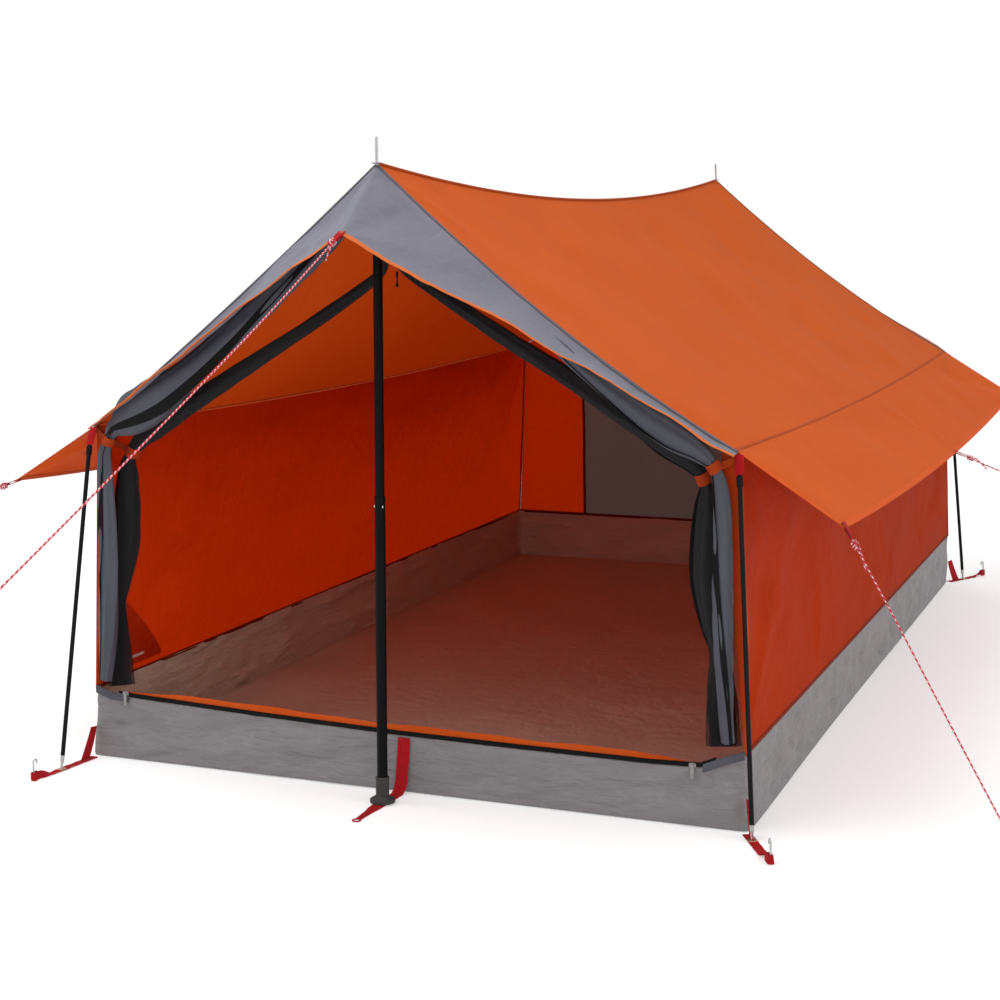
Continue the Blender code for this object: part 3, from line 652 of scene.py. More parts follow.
for label, end, seed in (("front", -1, 71), ("rear", 1, 91)):
    gable = hood_grid(end, APEX[label], seed)
    piece = skin("hood_cloth_" + label, gable, HOOD_CLOTH, "tent")
    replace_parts(piece, "hood_" + label)
    half = gable.shape[1] // 2
    trims = []
    for part, columns in (("a", slice(0, half + 1)), ("b", slice(half - 1, None))):
        trims.append(trim(f"hood_binding_{label}_{part}", gable[0, columns], gable[3, columns], -0.001, 0.0078, 0.0024,
                          BINDING))
        lifted = facing(gable)[-2, columns] * 0.0012
        trims.append(trim(f"hood_seam_{label}_{part}", gable[-1, columns] + lifted, gable[-4, columns] + lifted, -0.001,
                          0.005, 0.0014, HOOD_SEAM))


# ---------------- guy loops
# Short loops of red polyester webbing, 14 mm wide, folded double and sewn under the hem at every
# point that can be guyed.
def webbing(name, colour, deep):
    """Herringbone: ribs that lean one way in each 4 mm stripe and the other way in the next, with
    raised selvedges.
    """
    tape = Finish(name)
    across, along = tape.measure()
    stripe = (across * (2 * math.pi / 0.008)).sine()
    lean = stripe.size() * (2 * math.pi * 0.0016)
    ribs = ((along + lean * 0.25) * (2 * math.pi / 0.0013)).sine()
    wear = tape.clouds(60.0, 3.0)
    shade = tape.blend(wear, deep, colour)
    shade = tape.blend(ribs * 0.22 + 0.22, shade, deep)
    return tape.surface(Base_Color=shade, Roughness=0.62 + 0.18 * wear, Specular_IOR_Level=0.08, Sheen_Weight=0.02,
                        Normal=tape.bump(ribs + wear, 0.00035))


RED_WEBBING = webbing("red_webbing", (0.66, 0.012, 0.020), (0.42, 0.005, 0.010))
for label, (root, pull) in LOOPS.items():
    root = np.array(root)
    across = np.array((1.0, 0.0, 0.0) if abs(pull[0]) < 0.1 else (0.0, 1.0, 0.0))
    off = unit(np.cross(pull, across))
    t = np.linspace(0, 1, 60)[:, None]
    turn = 0.0022
    # out along one face, round the end and back: a long loop, its width drawn in at the rope
    bend = np.pi * np.clip((t - 0.42) / 0.16, 0, 1)
    run = np.where(t < 0.42, t / 0.42, np.where(t > 0.58, (1 - t) / 0.42, 1.0))
    middle = (root - pull * 0.010 + pull * (TAB_REACH + 0.010 - turn) * run + pull * turn * np.sin(bend)
              + off * 0.0020 * np.cos(bend))
    half = 0.0070 - 0.0022 * np.clip(run * 1.4 - 0.4, 0, 1) ** 2
    loop = band("guy_loop_" + label, middle - across * half, middle + across * half, 0.0010, RED_WEBBING, "tent")
    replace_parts(loop, "tab_" + label)

# ---------------- walls
# The inner tent's sides, the same orange taffeta a little thinner, sewn to the tub below and to the
# fly at the eave. The foot end is grey, with the side cloth lapped round its corners.
WALL_CLOTH = taffeta("wall_orange_taffeta", (0.41, 0.040, 0.006), (0.33, 0.028, 0.004), (0.95, 0.046, 0.001), 0.24,
                     wrinkle=0.0040, gloss=0.015)
WALL_GREY = taffeta("wall_grey_taffeta", (0.205, 0.195, 0.185), (0.165, 0.156, 0.149), (0.34, 0.31, 0.28), 0.08)
# a real seam, its colour the wall orange darkened as painted shade, for the dark line where wall meets tub
SHADED_WALL_SEAM = stitched("wall_seam", (0.22, 0.018, 0.004), (0.17, 0.012, 0.003), (0.14, 0.015, 0.004), 0.010)
PALE_ELASTIC = stitched("pocket_elastic", (0.55, 0.42, 0.38), (0.42, 0.31, 0.28), (0.66, 0.55, 0.50), 0.006)
WALL_HEM = stitched("wall_hem", (0.50, 0.052, 0.008), (0.42, 0.040, 0.006), (0.34, 0.03, 0.006), 0.020)
DARK_SEAM = stitched("dark_seam", (0.11, 0.008, 0.008), (0.08, 0.006, 0.006), (0.14, 0.015, 0.010), 0.010)


WALL_LONG, WALL_FOOT = 1.2025, 0.137            # half their length, and where they are sewn to the tub


def side_wall(side, seed):
    """Straight lines from the tub's rim to the eave, pushed out by wind and pulled into folds at the corners."""
    along, high = np.meshgrid(np.linspace(0, 1, 260), np.linspace(0, 1, 62), indexing="ij")
    y = (2 * along - 1) * WALL_LONG
    foot, top = points(side * 0.6495, y, WALL_FOOT), points(side * EAVE_OUT, y, 0.6565 - 0.020 * bow(along))
    grid = foot + (top - foot) * high[..., None]
    if side > 0:
        grid = grid[::-1]
    free = np.clip(bow(high) / 0.5, 0, 1) * np.clip(bow(along) / 0.05, 0, 1)
    lift = ripple(grid, 0.26, 0.0050, seed, (1, 0.6, 1)) + ripple(grid, 0.085, 0.0018, seed + 1, (1, 0.45, 1), 0.6)
    for y_at, z_at, up in ((-1.2, 0.15, 1), (-1.2, 0.65, -1), (1.2, 0.15, 1), (1.2, 0.65, -1)):
        seed += 1
        lift = lift + fan(grid, (side * 0.64, y_at, z_at), (0, -np.sign(y_at) * 1.3, up), 0.75, 0.19, 9, 0.0044, seed)
    for y_at in (-0.6, 0.1, 0.7):
        seed += 1
        lift = lift + fan(grid, (side * 0.64, y_at, 0.14), (0, 0.1, 1), 1.2, 0.10, 6, 0.0022, seed)
    return grid + facing(grid) * (lift * free)[..., None]


for label, side, seed in (("right", 1, 131), ("left", -1, 157)):
    panel = side_wall(side, seed)
    piece = skin("wall_cloth_" + label, panel, WALL_CLOTH, "tent")
    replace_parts(piece, "wall_" + label)
    trims = []
    for name, row, step in ends(side < 0):
        wide, finish = (0.024, FLY_HEM) if name == "front" else (0.010, SHADED_WALL_SEAM)
        trims.append(trim(f"wall_{name}_hem_{label}", panel[row], panel[row + 3 * step], -0.001, wide, 0.0022, finish))
    # the hem turns the corner as a narrow strip, wider towards the eave, that the doors are sewn to
    front = panel[ends(side < 0)[0][1]]
    turned = front.copy()
    turned[:, 0] -= side * (0.003 + 0.026 * np.clip((front[:, 2] - 0.14) / 0.5, 0, 1))
    trims.append(band("wall_corner_strip_" + label, front - (0, 0.0012, 0), turned - (0, 0.0020, 0), 0.0016, WALL_HEM,
                      "tent"))
    # the foot seam is real; its dark colour is painted shade along the join of wall and tub
    trims.append(trim("wall_foot_seam_" + label, panel[:, 0], panel[:, 3], -0.002, 0.006, 0.0026, SHADED_WALL_SEAM))
    "flysheet_" + label


def foot_wall(seed):
    """The gable wall at the foot end: straight lines from the tub to the roof's edge, leaning in to the pole."""
    across, high = np.meshgrid(np.linspace(-1, 1, 180), np.linspace(0, 1, 120))
    foot = points(across * 0.648, 1.2015, WALL_FOOT)
    under = roof(1.0, np.abs(across) * 0.998, np.where(across > 0, 1.0, -1.0))
    under[..., 1] -= 0.004 + 0.034 * (1 - np.abs(across))
    under[..., 2] -= 0.0040
    grid = (foot + (under - foot) * high[..., None])[:, ::-1]
    free = np.clip(bow(high) / 0.4, 0, 1) * np.clip((1 - np.abs(across[:, ::-1])) / 0.03, 0, 1)
    lift = ripple(grid, 0.24, 0.0045, seed, (0.8, 1, 0.7)) + ripple(grid, 0.08, 0.0016, seed + 1, (1, 1, 0.5), 0.6)
    return grid + facing(grid) * (lift * free)[..., None]


gable = foot_wall(181)
LAP = 30            # columns of the side's cloth at each edge
middle_part = skin("wall_cloth_rear", gable[:, LAP - 1:-LAP + 1], WALL_GREY, "tent")
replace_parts(middle_part, "wall_rear")
laps = [skin("wall_rear_lap_right", gable[:, :LAP], WALL_CLOTH, "tent"),
        skin("wall_rear_lap_left", gable[:, -LAP:], WALL_CLOTH, "tent")]
for label, column, step in (("right", LAP - 1, 1), ("left", -LAP, -1)):
    laps.append(trim("wall_rear_seam_" + label, gable[:, column], gable[:, column + 2 * step], -0.004, 0.004, 0.0030,
                     DARK_SEAM))
laps.append(trim("wall_foot_seam_rear", gable[0], gable[3], -0.002, 0.006, 0.0030, DARK_SEAM))

# A small gear pocket inside the left wall, by the door: a patch sewn on three sides, its mouth on
# the slant and a short pale elastic along its foot.
mouth, inward = np.linspace(0, 1, 40)[:, None], np.linspace(0, 1, 24)[None, :]
pocket_y = -1.165 + 0.193 * mouth + 0 * inward
pocket_z = 0.158 + (0.335 - 0.168 * mouth - 0.158) * inward
pocket_x = -0.6405 + 0.012 * bow(mouth) * inward**1.5 + 0.036 * (pocket_z - 0.16)
pocket = skin("gear_pocket", points(pocket_x, pocket_y, pocket_z)[::-1], WALL_CLOTH, "tent")
elastic_x, elastic_y = pocket_x[8:26, 3] + 0.0016, pocket_y[8:26, 3]
elastic = band("gear_pocket_elastic", points(elastic_x, elastic_y, 0.172), points(elastic_x, elastic_y, 0.178), 0.0012,
               PALE_ELASTIC, "tent")

# ---------------- floor tub
# Grey coated groundsheet, its four sides turned up 14 cm to make a tub; the front one dips to a
# sill under the door. It lies slack, creased where it was packed, with the corners sewn upright.
HALF_WIDE, HALF_LONG, RIM = 0.650, 1.203, 0.140
UNDER_ROWS, SIDE_ROWS = 6, 36


def sill(x):
    """Height of the front side: a smooth dip between the corners, lowest right of the middle."""
    return np.interp(x, (-0.650, -0.615, -0.560, -0.288, 0.0, 0.238, 0.480, 0.570, 0.612, 0.650),
                     (0.140, 0.129, 0.1245, 0.1145, 0.1070, 0.1050, 0.1042, 0.1070, 0.1260, 0.140))


def outline(count, corner=0.016):
    """count points, evenly apart, round the floor's outline: a rectangle with quarter-circle corners,
    from the middle of the front side to the right and on round.
    """
    quarter = np.linspace(0, np.pi / 2, 12)
    w, l = HALF_WIDE - corner, HALF_LONG - corner
    arcs = [np.stack([x + corner * np.cos(turn + quarter), y + corner * np.sin(turn + quarter)], 1)
            for x, y, turn in ((w, -l, -np.pi / 2), (w, l, 0), (-w, l, np.pi / 2), (-w, -l, np.pi))]
    ring = np.vstack([[(0.0, -HALF_LONG)], *arcs, [(0.0, -HALF_LONG)]])
    travel = travel_of(ring)
    goal = np.linspace(0, travel[-1], count, endpoint=False)
    return np.stack([np.interp(goal, travel, ring[:, i]) for i in (0, 1)], 1)


def tub_grid():
    """Rings round the tub, in order: under the floor from the middle out, up the outside, over the rim,
    down the inside and back in across the floor. Creases push the sides out and in, and lift the floor.
    """
    thick = 0.0018
    ring = outline(540)
    out = unit(np.roll(ring, -1, 0) - np.roll(ring, 1, 0))
    out = np.stack([out[:, 1], -out[:, 0], 0 * out[:, 0]], 1)
    front = (ring[:, 1] < -HALF_LONG + 0.004)
    rim = np.where(front, sill(ring[:, 0]), RIM)
    flat = np.c_[ring, 0 * rim]
    rows = [flat * (share, share, 1) + (0, 0, 0.0006) for share in np.linspace(0.02, 0.985, UNDER_ROWS)]
    sides = np.linspace(0, 1, SIDE_ROWS)[:, None]
    wall = flat[None] + (0, 0, 1) * (0.0016 + (rim - 0.0016) * sides)[..., None]
    turn = 0.004 * np.clip(1 - wall[..., 2] / 0.006, 0, 1) ** 2
    folds = ripple(wall, 0.15, 0.0034, 211, (1, 1, 1.6)) + ripple(wall, 0.062, 0.0032, 212, (0.7, 0.7, 2.0), 0.55)
    for x, seed in ((-0.60, 5), (0.59, 6)):
        away = wall - (x, -HALF_LONG, 0.125)
        far, bearing = np.linalg.norm(away, axis=-1), np.arctan2(away[..., 2], np.abs(away[..., 0]) + 1e-6)
        swell = far / 0.07 * np.exp(1 - far / 0.07) * (wall[..., 1] < -1.19)
        folds = folds + 0.0032 * np.sin(bearing * 9 + seed) * swell
    held = np.clip(sides / 0.10, 0, 1) * np.clip((1 - sides) / 0.12, 0, 1)
    to_corner = np.abs(np.abs(ring[:, 0]) - HALF_WIDE) + np.abs(np.abs(ring[:, 1]) - HALF_LONG)
    corner = np.clip(to_corner, 0, 0.03) / 0.03
    corner = corner * np.clip((np.abs(ring[:, 0] - 0.009) - 0.016) / 0.03, 0, 1)
    push = (folds * held * corner)[..., None] * out[None] - turn[..., None] * out[None]
    rows += [*(wall + push), *(wall + push - out[None] * thick)[::-1]]
    inner = np.r_[np.linspace(0.994, 0.90, 14), np.linspace(0.89, 0.02, 50)][:, None, None]
    floor_in = flat[None] * np.concatenate([inner, inner, inner * 0 + 1], 2)
    floor_in[..., 2] = 0.0022
    swell = np.clip((1 - inner[..., 0]) / 0.03, 0, 1)
    rise = (ripple(floor_in, 0.30, 0.0036, 221, (1, 0.7, 1)) + ripple(floor_in, 0.10, 0.0016, 222, (1.2, 0.7, 1), 0.75)
            + 0.0030)
    floor_in[..., 2] += np.maximum(rise, 0.0) * swell
    rows += list(floor_in)
    rows = np.array(rows)
    # the straps at the front corners pull the foot of the sides out
    low = np.clip(1 - rows[..., 2] / RIM, 0, 1) * np.exp(-((rows[..., 1] + HALF_LONG) / 0.5) ** 2)
    rows[..., 0] -= low * (0.016 * np.exp(-((rows[..., 0] + HALF_WIDE) / 0.2) ** 2)
                           - 0.008 * np.exp(-((rows[..., 0] - HALF_WIDE) / 0.2) ** 2))
    return rows[:, ::-1]


def groundsheet():
    """Coated oxford cloth: a coarse weave under a satin skin, folded into creases and scuffed paler
    along them. Inside the tub the colour is paler and warmer than outside: partly the coating's own
    warmer tone, partly painted light, the warm glow that the orange walls let through.
    """
    cloth = Finish("floor_grey_groundsheet")
    along = cloth.measure()[1]
    crease = (cloth.clouds(9.0, 4.0, (0.6, 0.6, 2.4), rough=0.62) - 0.5).size()
    fine = (cloth.clouds(34.0, 3.0, (0.6, 0.6, 2.2)) - 0.5).size()
    blots = cloth.clouds(5.0, 3.0)
    scuff = cloth.ramp(crease, (0.0, 1.0), (0.035, 0.0))
    outside = cloth.blend(blots, (0.165, 0.153, 0.157), (0.215, 0.202, 0.206))
    # inside colour: partly the coating's own tone, partly painted light, paler and warmer for the glow through the
    # orange walls
    inside = cloth.blend(blots, (0.445, 0.390, 0.310), (0.565, 0.500, 0.410))
    body = cloth.blend(along.above(TUB_RIM), outside, inside)
    dyed = cloth.blend(scuff * 0.10, body, (0.36, 0.35, 0.36))
    folds = cloth.bump(crease + fine * 0.45, 0.0150)
    woven = cloth.bump(cloth.weave(3600.0), 0.00016, 0.5, folds)
    return cloth.surface(Base_Color=dyed, Roughness=0.44 + 0.16 * blots, Specular_IOR_Level=0.24, Sheen_Weight=0.02,
                         Normal=woven)


folded = tub_grid()
# the cloth's travel from the middle of the underside to the rim
TUB_RIM = float(np.linalg.norm(np.diff(folded[:UNDER_ROWS + SIDE_ROWS], axis=0), axis=2).mean(1).sum())
tub = skin("floor_tub_cloth", folded, groundsheet(), "tent", wrap=True, capped=True)
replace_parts(tub, "floor_tub")

# ---------------- door zip and its sliders
# One long coil zip along the sill, undone, its black tape sewn to the tub and backed by a narrow
# orange flap. A metal slider is parked at each end, with a flat puller on a hinge.
def zip_tape_finish():
    """Woven zip tape: a fine twill, the sine of both measures together, with lint in soft blots."""
    tape = Finish("zip_black_tape")
    across, along = tape.measure()
    twill = ((across + along) * 4200.0).sine()
    lint = tape.clouds(90.0, 3.0)
    shade = tape.blend(lint, (0.004, 0.004, 0.0045), (0.012, 0.012, 0.013))
    return tape.surface(Base_Color=shade, Roughness=0.5 + 0.2 * lint, Specular_IOR_Level=0.08,
                        Normal=tape.bump(twill + lint, 0.0003))


ZIP_TAPE = zip_tape_finish()
ZIP_CAP = stitched("zip_cap_grey", (0.062, 0.063, 0.076), (0.040, 0.041, 0.050), (0.11, 0.11, 0.125), 0.016)
ZIP_END, ZIP_Y = 0.597, -1.2036
sill_x = np.linspace(-ZIP_END, ZIP_END, 400)
tape = band("door_zip_tape", points(sill_x, ZIP_Y, sill(sill_x) + 0.0006),
            points(sill_x, ZIP_Y + 0.0006, sill(sill_x) + 0.0086), 0.0014, ZIP_TAPE, "tent")
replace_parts(tape, "door_zip")
coil_x = np.linspace(-ZIP_END, ZIP_END, 3200)
# the coil's turns show as a swelling every 2.6 mm
teeth = 0.00125 + 0.00035 * np.sin(coil_x * 2 * np.pi / 0.0026)
rod("door_zip_coil", points(coil_x, -1.2030, sill(coil_x) + 0.0080), teeth, 8, ZIP_TAPE, "tent")
FLAP_LEFT, FLAP_RIGHT = -0.592, 0.556
flap_x = np.linspace(FLAP_LEFT, FLAP_RIGHT, 300)
flap_z = sill(flap_x) + 0.004
lean_in = 0.004 * np.sin(flap_x * 17) + 0.003 * np.sin(flap_x * 41)
flap_high = 0.0125 * np.clip(np.minimum(flap_x - FLAP_LEFT, FLAP_RIGHT - flap_x) / 0.12, 0.1, 1)
band("door_zip_flap", points(flap_x, -1.2010, flap_z), points(flap_x, -1.1900 + lean_in, flap_z + flap_high), 0.0014,
     FLY_HEM, "tent")
# a grey cloth cap over each end of the zip
for label, side in (("right", 1), ("left", -1)):
    cap_x = np.linspace(0.574, 0.6475, 40)
    rim = sill(side * cap_x)
    fold = 0.0006 * np.sin(cap_x * 260) * bow((cap_x - 0.574) / 0.0735)
    low, high = points(side * cap_x, -1.2066 - fold, rim - 0.010), points(side * cap_x, -1.2050 - fold, rim + 0.0050)
    band("zip_end_cap_" + label, low[::side], high[::side], 0.0018, ZIP_CAP, "tent")


def worn_metal(name, colour, dark, rough, grain):
    """Bare metal: fine drawn lines along Z, darker in blots where hands have dulled it."""
    metal = Finish(name)
    lines = metal.clouds(grain, 2.0, (1.0, 1.0, 0.04))
    dull = metal.clouds(80.0, 4.0)
    shade = metal.blend(dull, dark, colour)
    return metal.surface(Base_Color=shade, Metallic=1.0, Roughness=rough + 0.18 * dull + 0.08 * lines,
                         Normal=metal.bump(lines, 0.00008))


ZIP_METAL = worn_metal("zip_metal", (0.34, 0.33, 0.32), (0.20, 0.19, 0.19), 0.28, 900.0)


def pebble(name, centre, half, square, finish, body, rows=18, columns=28):
    """A rounded block: an ellipsoid whose sines and cosines are raised to the power square, below 1 to
    fill its corners.
    """
    lat, lon = np.meshgrid(np.linspace(-np.pi / 2, np.pi / 2, rows)[1:-1],
                           np.linspace(0, 2 * np.pi, columns, endpoint=False), indexing="ij")

    def full(value):
        return np.sign(value) * np.abs(value) ** square

    grid = points(full(np.cos(lat)) * full(np.cos(lon)), full(np.cos(lat)) * full(np.sin(lon)), full(np.sin(lat)))
    return skin(name, np.array(centre) + grid * np.array(half), finish, body, True, True)


for label, x in (("left", -0.580), ("right", 0.556)):
    # each stands at its CAD solid's height, a straight line between four points of the sill
    z = float(np.interp(x, (-0.615, 0.0, 0.560, 0.615), (0.129, 0.107, 0.104, 0.127))) + 0.0065
    body = "zip_slider_" + label
    plates = [pebble(f"slider_{part}_{label}", (x, y, z), half, 0.55, ZIP_METAL, body) for part, y, half in
              (("front", -1.2066, (0.0066, 0.0010, 0.0044)), ("back", -1.2052, (0.0058, 0.0005, 0.0040)))]
    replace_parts(plates[0], body)
    arch = np.linspace(0, np.pi, 20)
    bail = points(x + 0.0042 * np.cos(arch), -1.2074 - 0.0022 * np.sin(arch), z + 0.0022)
    rod("slider_bail_" + label, bail, 0.0006, 8, ZIP_METAL, body)
    down = np.linspace(0, 1, 40)
    half = 0.0014 + 0.0020 * np.clip(np.sin(np.pi * (down * 0.80 + 0.14)), 0, 1) ** 0.6
    y, low = -1.2086 - 0.0004, z + 0.0020 + (-0.0265 * down + 0.0008)
    puller = band("slider_puller_" + label, points(x - half, y, low), points(x + half, y, low), 0.0014, ZIP_METAL,
                  "zip_pull_" + label)
    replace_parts(puller, "zip_pull_" + label)

# ---------------- doors
# Each half of the doorway has a black mosquito net and, outside it, a grey weather door. Both are
# gathered up along the slope, held at the eave by an orange tie, and hang slack down to the sill.
def mosquito_net():
    """Fine knitted net: round holes 1.1 mm apart, cut from Alpha, with threads that fill in where folds
    crowd and draw apart near the sill, where it hangs open.
    """
    net = Finish("door_mesh_net")
    across, along = net.measure()
    holes = ((across * 5700.0).sine() * (along * 5700.0).sine()).size()
    crowd = net.clouds(14.0, 2.0, cloth=True)
    thread = net.ramp(holes * 0.7 + crowd * 0.3, (0.35, 1.0), (0.90, 0.72))
    height = net.node("ShaderNodeSeparateXYZ", None, {"Vector": net.place()}, 2)
    thread = thread * net.ramp(height, (0.17, 0.50), (0.33, 1.0))
    shade = net.blend(crowd, (0.009, 0.009, 0.010), (0.020, 0.020, 0.022))
    return net.surface(Base_Color=shade, Roughness=0.6 + 0.2 * crowd, Specular_IOR_Level=0.15, Sheen_Weight=0.03,
                       Alpha=thread, Normal=net.bump(holes, 0.0003))


NET = mosquito_net()
DOOR_CLOTH = taffeta("door_grey_taffeta", (0.085, 0.087, 0.106), (0.055, 0.056, 0.070), (0.08, 0.075, 0.09), 0.05,
                     sheen=0.03, rough=0.36, wrinkle=0.0016, gloss=0.16)
# x, y, z, then how wide and how deep the gathered cloth is there, on the right side.
NET_LINE = ((0.002, -1.2320, 0.992, 0.010, 0.008), (0.034, -1.2000, 0.948, 0.016, 0.014),
            (0.160, -1.186, 0.868, 0.024, 0.020), (0.313, -1.182, 0.778, 0.034, 0.024),
            (0.420, -1.180, 0.713, 0.040, 0.028), (0.500, -1.178, 0.664, 0.044, 0.028),
            (0.550, -1.178, 0.630, 0.034, 0.026), (0.572, -1.178, 0.600, 0.026, 0.022),
            (0.578, -1.178, 0.560, 0.046, 0.028), (0.578, -1.178, 0.500, 0.058, 0.032),
            (0.580, -1.178, 0.430, 0.060, 0.032), (0.592, -1.178, 0.350, 0.044, 0.028),
            (0.600, -1.178, 0.310, 0.034, 0.024), (0.604, -1.178, 0.265, 0.048, 0.026),
            (0.604, -1.178, 0.200, 0.060, 0.022), (0.603, -1.180, 0.142, 0.066, 0.012))
OUTER_LINE = ((0.030, -1.3000, 1.054, 0.012, 0.010), (0.160, -1.2750, 0.960, 0.020, 0.016),
              (0.313, -1.2550, 0.844, 0.026, 0.020), (0.360, -1.2520, 0.806, 0.028, 0.022),
              (0.420, -1.2480, 0.760, 0.034, 0.024), (0.480, -1.2400, 0.718, 0.048, 0.028),
              (0.530, -1.2350, 0.686, 0.050, 0.026), (0.570, -1.2300, 0.660, 0.034, 0.024),
              (0.594, -1.220, 0.632, 0.020, 0.020), (0.606, -1.220, 0.590, 0.030, 0.022),
              (0.610, -1.222, 0.520, 0.036, 0.024), (0.611, -1.224, 0.430, 0.040, 0.024),
              (0.613, -1.224, 0.330, 0.038, 0.024), (0.617, -1.222, 0.240, 0.032, 0.022),
              (0.622, -1.219, 0.160, 0.024, 0.018))


def gathered(line, side, turns, seed, lumps, sway, slope, rows=230, columns=118):
    """A door half rolled and gathered along a line: across the cloth the section winds outwards, from
    the middle to the roll's full width and depth, in turns; a few waves round the section, whose phases
    drift along the line, make it into long folds. Below the tie the line bows sideways by sway; above
    it the roll is slope times as wide.
    """
    draw = np.random.default_rng(seed)
    fine = smooth_line(line, rows)
    fine[:, 0] += sway * np.sin(np.pi * np.clip((0.60 - fine[:, 2]) / 0.46, 0, 1)) ** 0.6
    upper = bow(np.clip((fine[:, 2] - 0.66) / 0.40, 0, 1)) ** 0.5
    fine[:, 3] *= 1 + (slope - 1) * upper
    fine[:, 2] -= 0.010 * (slope - 1) * upper
    centre = fine[:, :3] * (side, 1, 1)
    along = unit(np.gradient(centre, axis=0))
    flat_way = unit(np.cross(along, (0.0, 1.0, 0.0)))
    deep_way = np.cross(flat_way, along)
    share = np.linspace(0, 1, columns)[None, :]
    run = np.linspace(0, 1, rows)[:, None]
    turn = 2 * np.pi * turns * share + draw.uniform(0, 6.28) + 1.1 * np.sin(5 * run + draw.uniform(0, 6.28))
    swell = 0.14 + 0.86 * share
    for waves, much in lumps:
        swell = swell * (1 + much * np.sin(waves * turn + draw.uniform(0, 6.28) + draw.uniform(2, 5) * run
                                           + 1.5 * np.sin(9 * run + draw.uniform(0, 6.28))))
    wide, deep = fine[:, 3, None] / 2 * swell * np.cos(turn), fine[:, 4, None] / 2 * swell * np.sin(turn)
    return centre[:, None] + wide[..., None] * flat_way[:, None] + deep[..., None] * deep_way[:, None]


for label, side, net_sway, outer_sway, outer_slope in (("right", 1, -0.008, 0.0, 1.0),
                                                       ("left", -1, 0.009, -0.014, 2.1)):
    for kind, line, finish, turns, seed, sway, slope, slot in (
            ("mesh", NET_LINE, NET, 4.6, 301 + side, net_sway, 1.0, "door_mesh"),
            ("outer", OUTER_LINE, DOOR_CLOTH, 5.2, 311 + side, outer_sway, outer_slope, "door_grey")):
        roll = gathered(line, side, turns, seed, ((2, 0.10), (5, 0.14), (9, 0.07)), sway, slope)
        door = skin(f"door_{kind}_cloth_{label}", roll, finish, "tent")
        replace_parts(door, f"door_{kind}_{label}")
        hem = band(f"door_{kind}_edge_{label}", roll[:, -1], roll[:, -3], 0.0014, ZIP_TAPE, "tent")

# ---------------- door ties
# Orange tape loops sewn into the eave corner, one round each gathered door. A short tail of the
# same tape joins each loop to the corner.
TIE_TAPE = webbing("orange_tape", (0.62, 0.075, 0.010), (0.42, 0.038, 0.005))


def tie_loop(name, centre, way, half, width):
    """A tape laid in an oval round way, its ring a circle stretched to half, and capped where its ends
    are sewn.
    """
    way = unit(np.array(way, float))
    over = unit(np.cross((0.0, 1.0, 0.0), way))
    deep = np.cross(way, over)
    angle = np.linspace(0, 2 * np.pi, 60)[:, None]
    ring = np.array(centre) + half[0] * np.cos(angle) * over + half[1] * np.sin(angle) * deep
    sway = 0.0008 * np.sin(3 * angle) * way
    return band(name, ring - way * width / 2 + sway, ring + way * width / 2 + sway, 0.0012, TIE_TAPE, "tent")


for label, side in (("right", 1), ("left", -1)):
    mesh_tie = tie_loop("door_tie_mesh_" + label, (side * 0.566, -1.178, 0.606), (side * 0.45, 0, -1),
                        (0.0150, 0.0140), 0.020)
    tie_loop("door_tie_outer_" + label, (side * 0.5935, -1.220, 0.632), (side * 0.62, 0.1, -1),
             (0.0125, 0.0125), 0.018)
    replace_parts(mesh_tie, "door_tie_" + label)
    for name, first, last in (("mesh", (0.580, -1.180, 0.612), (0.628, -1.196, 0.646)),
                              ("outer", (0.604, -1.216, 0.636), (0.631, -1.208, 0.652))):
        t = np.linspace(0, 1, 14)[:, None]
        middle = np.array(first) * (side, 1, 1) * (1 - t) + np.array(last) * (side, 1, 1) * t - (0, 0, 0.003) * bow(t)
        band(f"door_tie_tail_{name}_{label}", middle - (0, 0, 0.007), middle + (0, 0, 0.007), 0.0012, TIE_TAPE, "tent")

# ---------------- upright poles
# Two-section steel tube, sprayed black, the upper section's spigot plugged into the lower. A steel
# spike stands through an eyelet in the roof; a rubber boot spreads the foot.
def black_paint(name, colour, dust, rough, scratch):
    """Spray paint on tube: a light orange-peel, and long faint scratches in the colour of dust."""
    paint = Finish(name)
    peel = paint.clouds(420.0, 2.0)
    lines = paint.clouds(160.0, 3.0, (1.0, 1.0, 0.03))
    scratches = paint.ramp(lines, (0.66, 0.0), (0.74, 1.0))
    shade = paint.blend(scratches * scratch, colour, dust)
    return paint.surface(Base_Color=shade, Roughness=rough + 0.2 * scratches + 0.06 * peel, Specular_IOR_Level=0.06,
                         Normal=paint.bump(peel, 0.0002))


def boot_rubber():
    """Moulded rubber, matt and finely pitted, greyed by dust."""
    rubber = Finish("boot_black_rubber")
    pits, dust = rubber.clouds(600.0, 3.0), rubber.clouds(45.0, 3.0)
    shade = rubber.blend(dust, (0.012, 0.012, 0.012), (0.040, 0.038, 0.036))
    return rubber.surface(Base_Color=shade, Roughness=0.66 + 0.2 * dust, Normal=rubber.bump(pits, 0.0004))


POLE_PAINT = black_paint("pole_black_paint", (0.0036, 0.0036, 0.0038), (0.030, 0.028, 0.026), 0.30, 0.3)
FIBREGLASS = black_paint("corner_pole_black", (0.008, 0.008, 0.009), (0.040, 0.038, 0.037), 0.36, 0.3)
RUBBER = boot_rubber()
STEEL = worn_metal("pole_steel", (0.56, 0.56, 0.57), (0.32, 0.31, 0.30), 0.28, 700.0)


def wear(node, finish):
    """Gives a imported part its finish."""
    held = node_of[node].data.materials
    held.clear()
    held.append(finish)


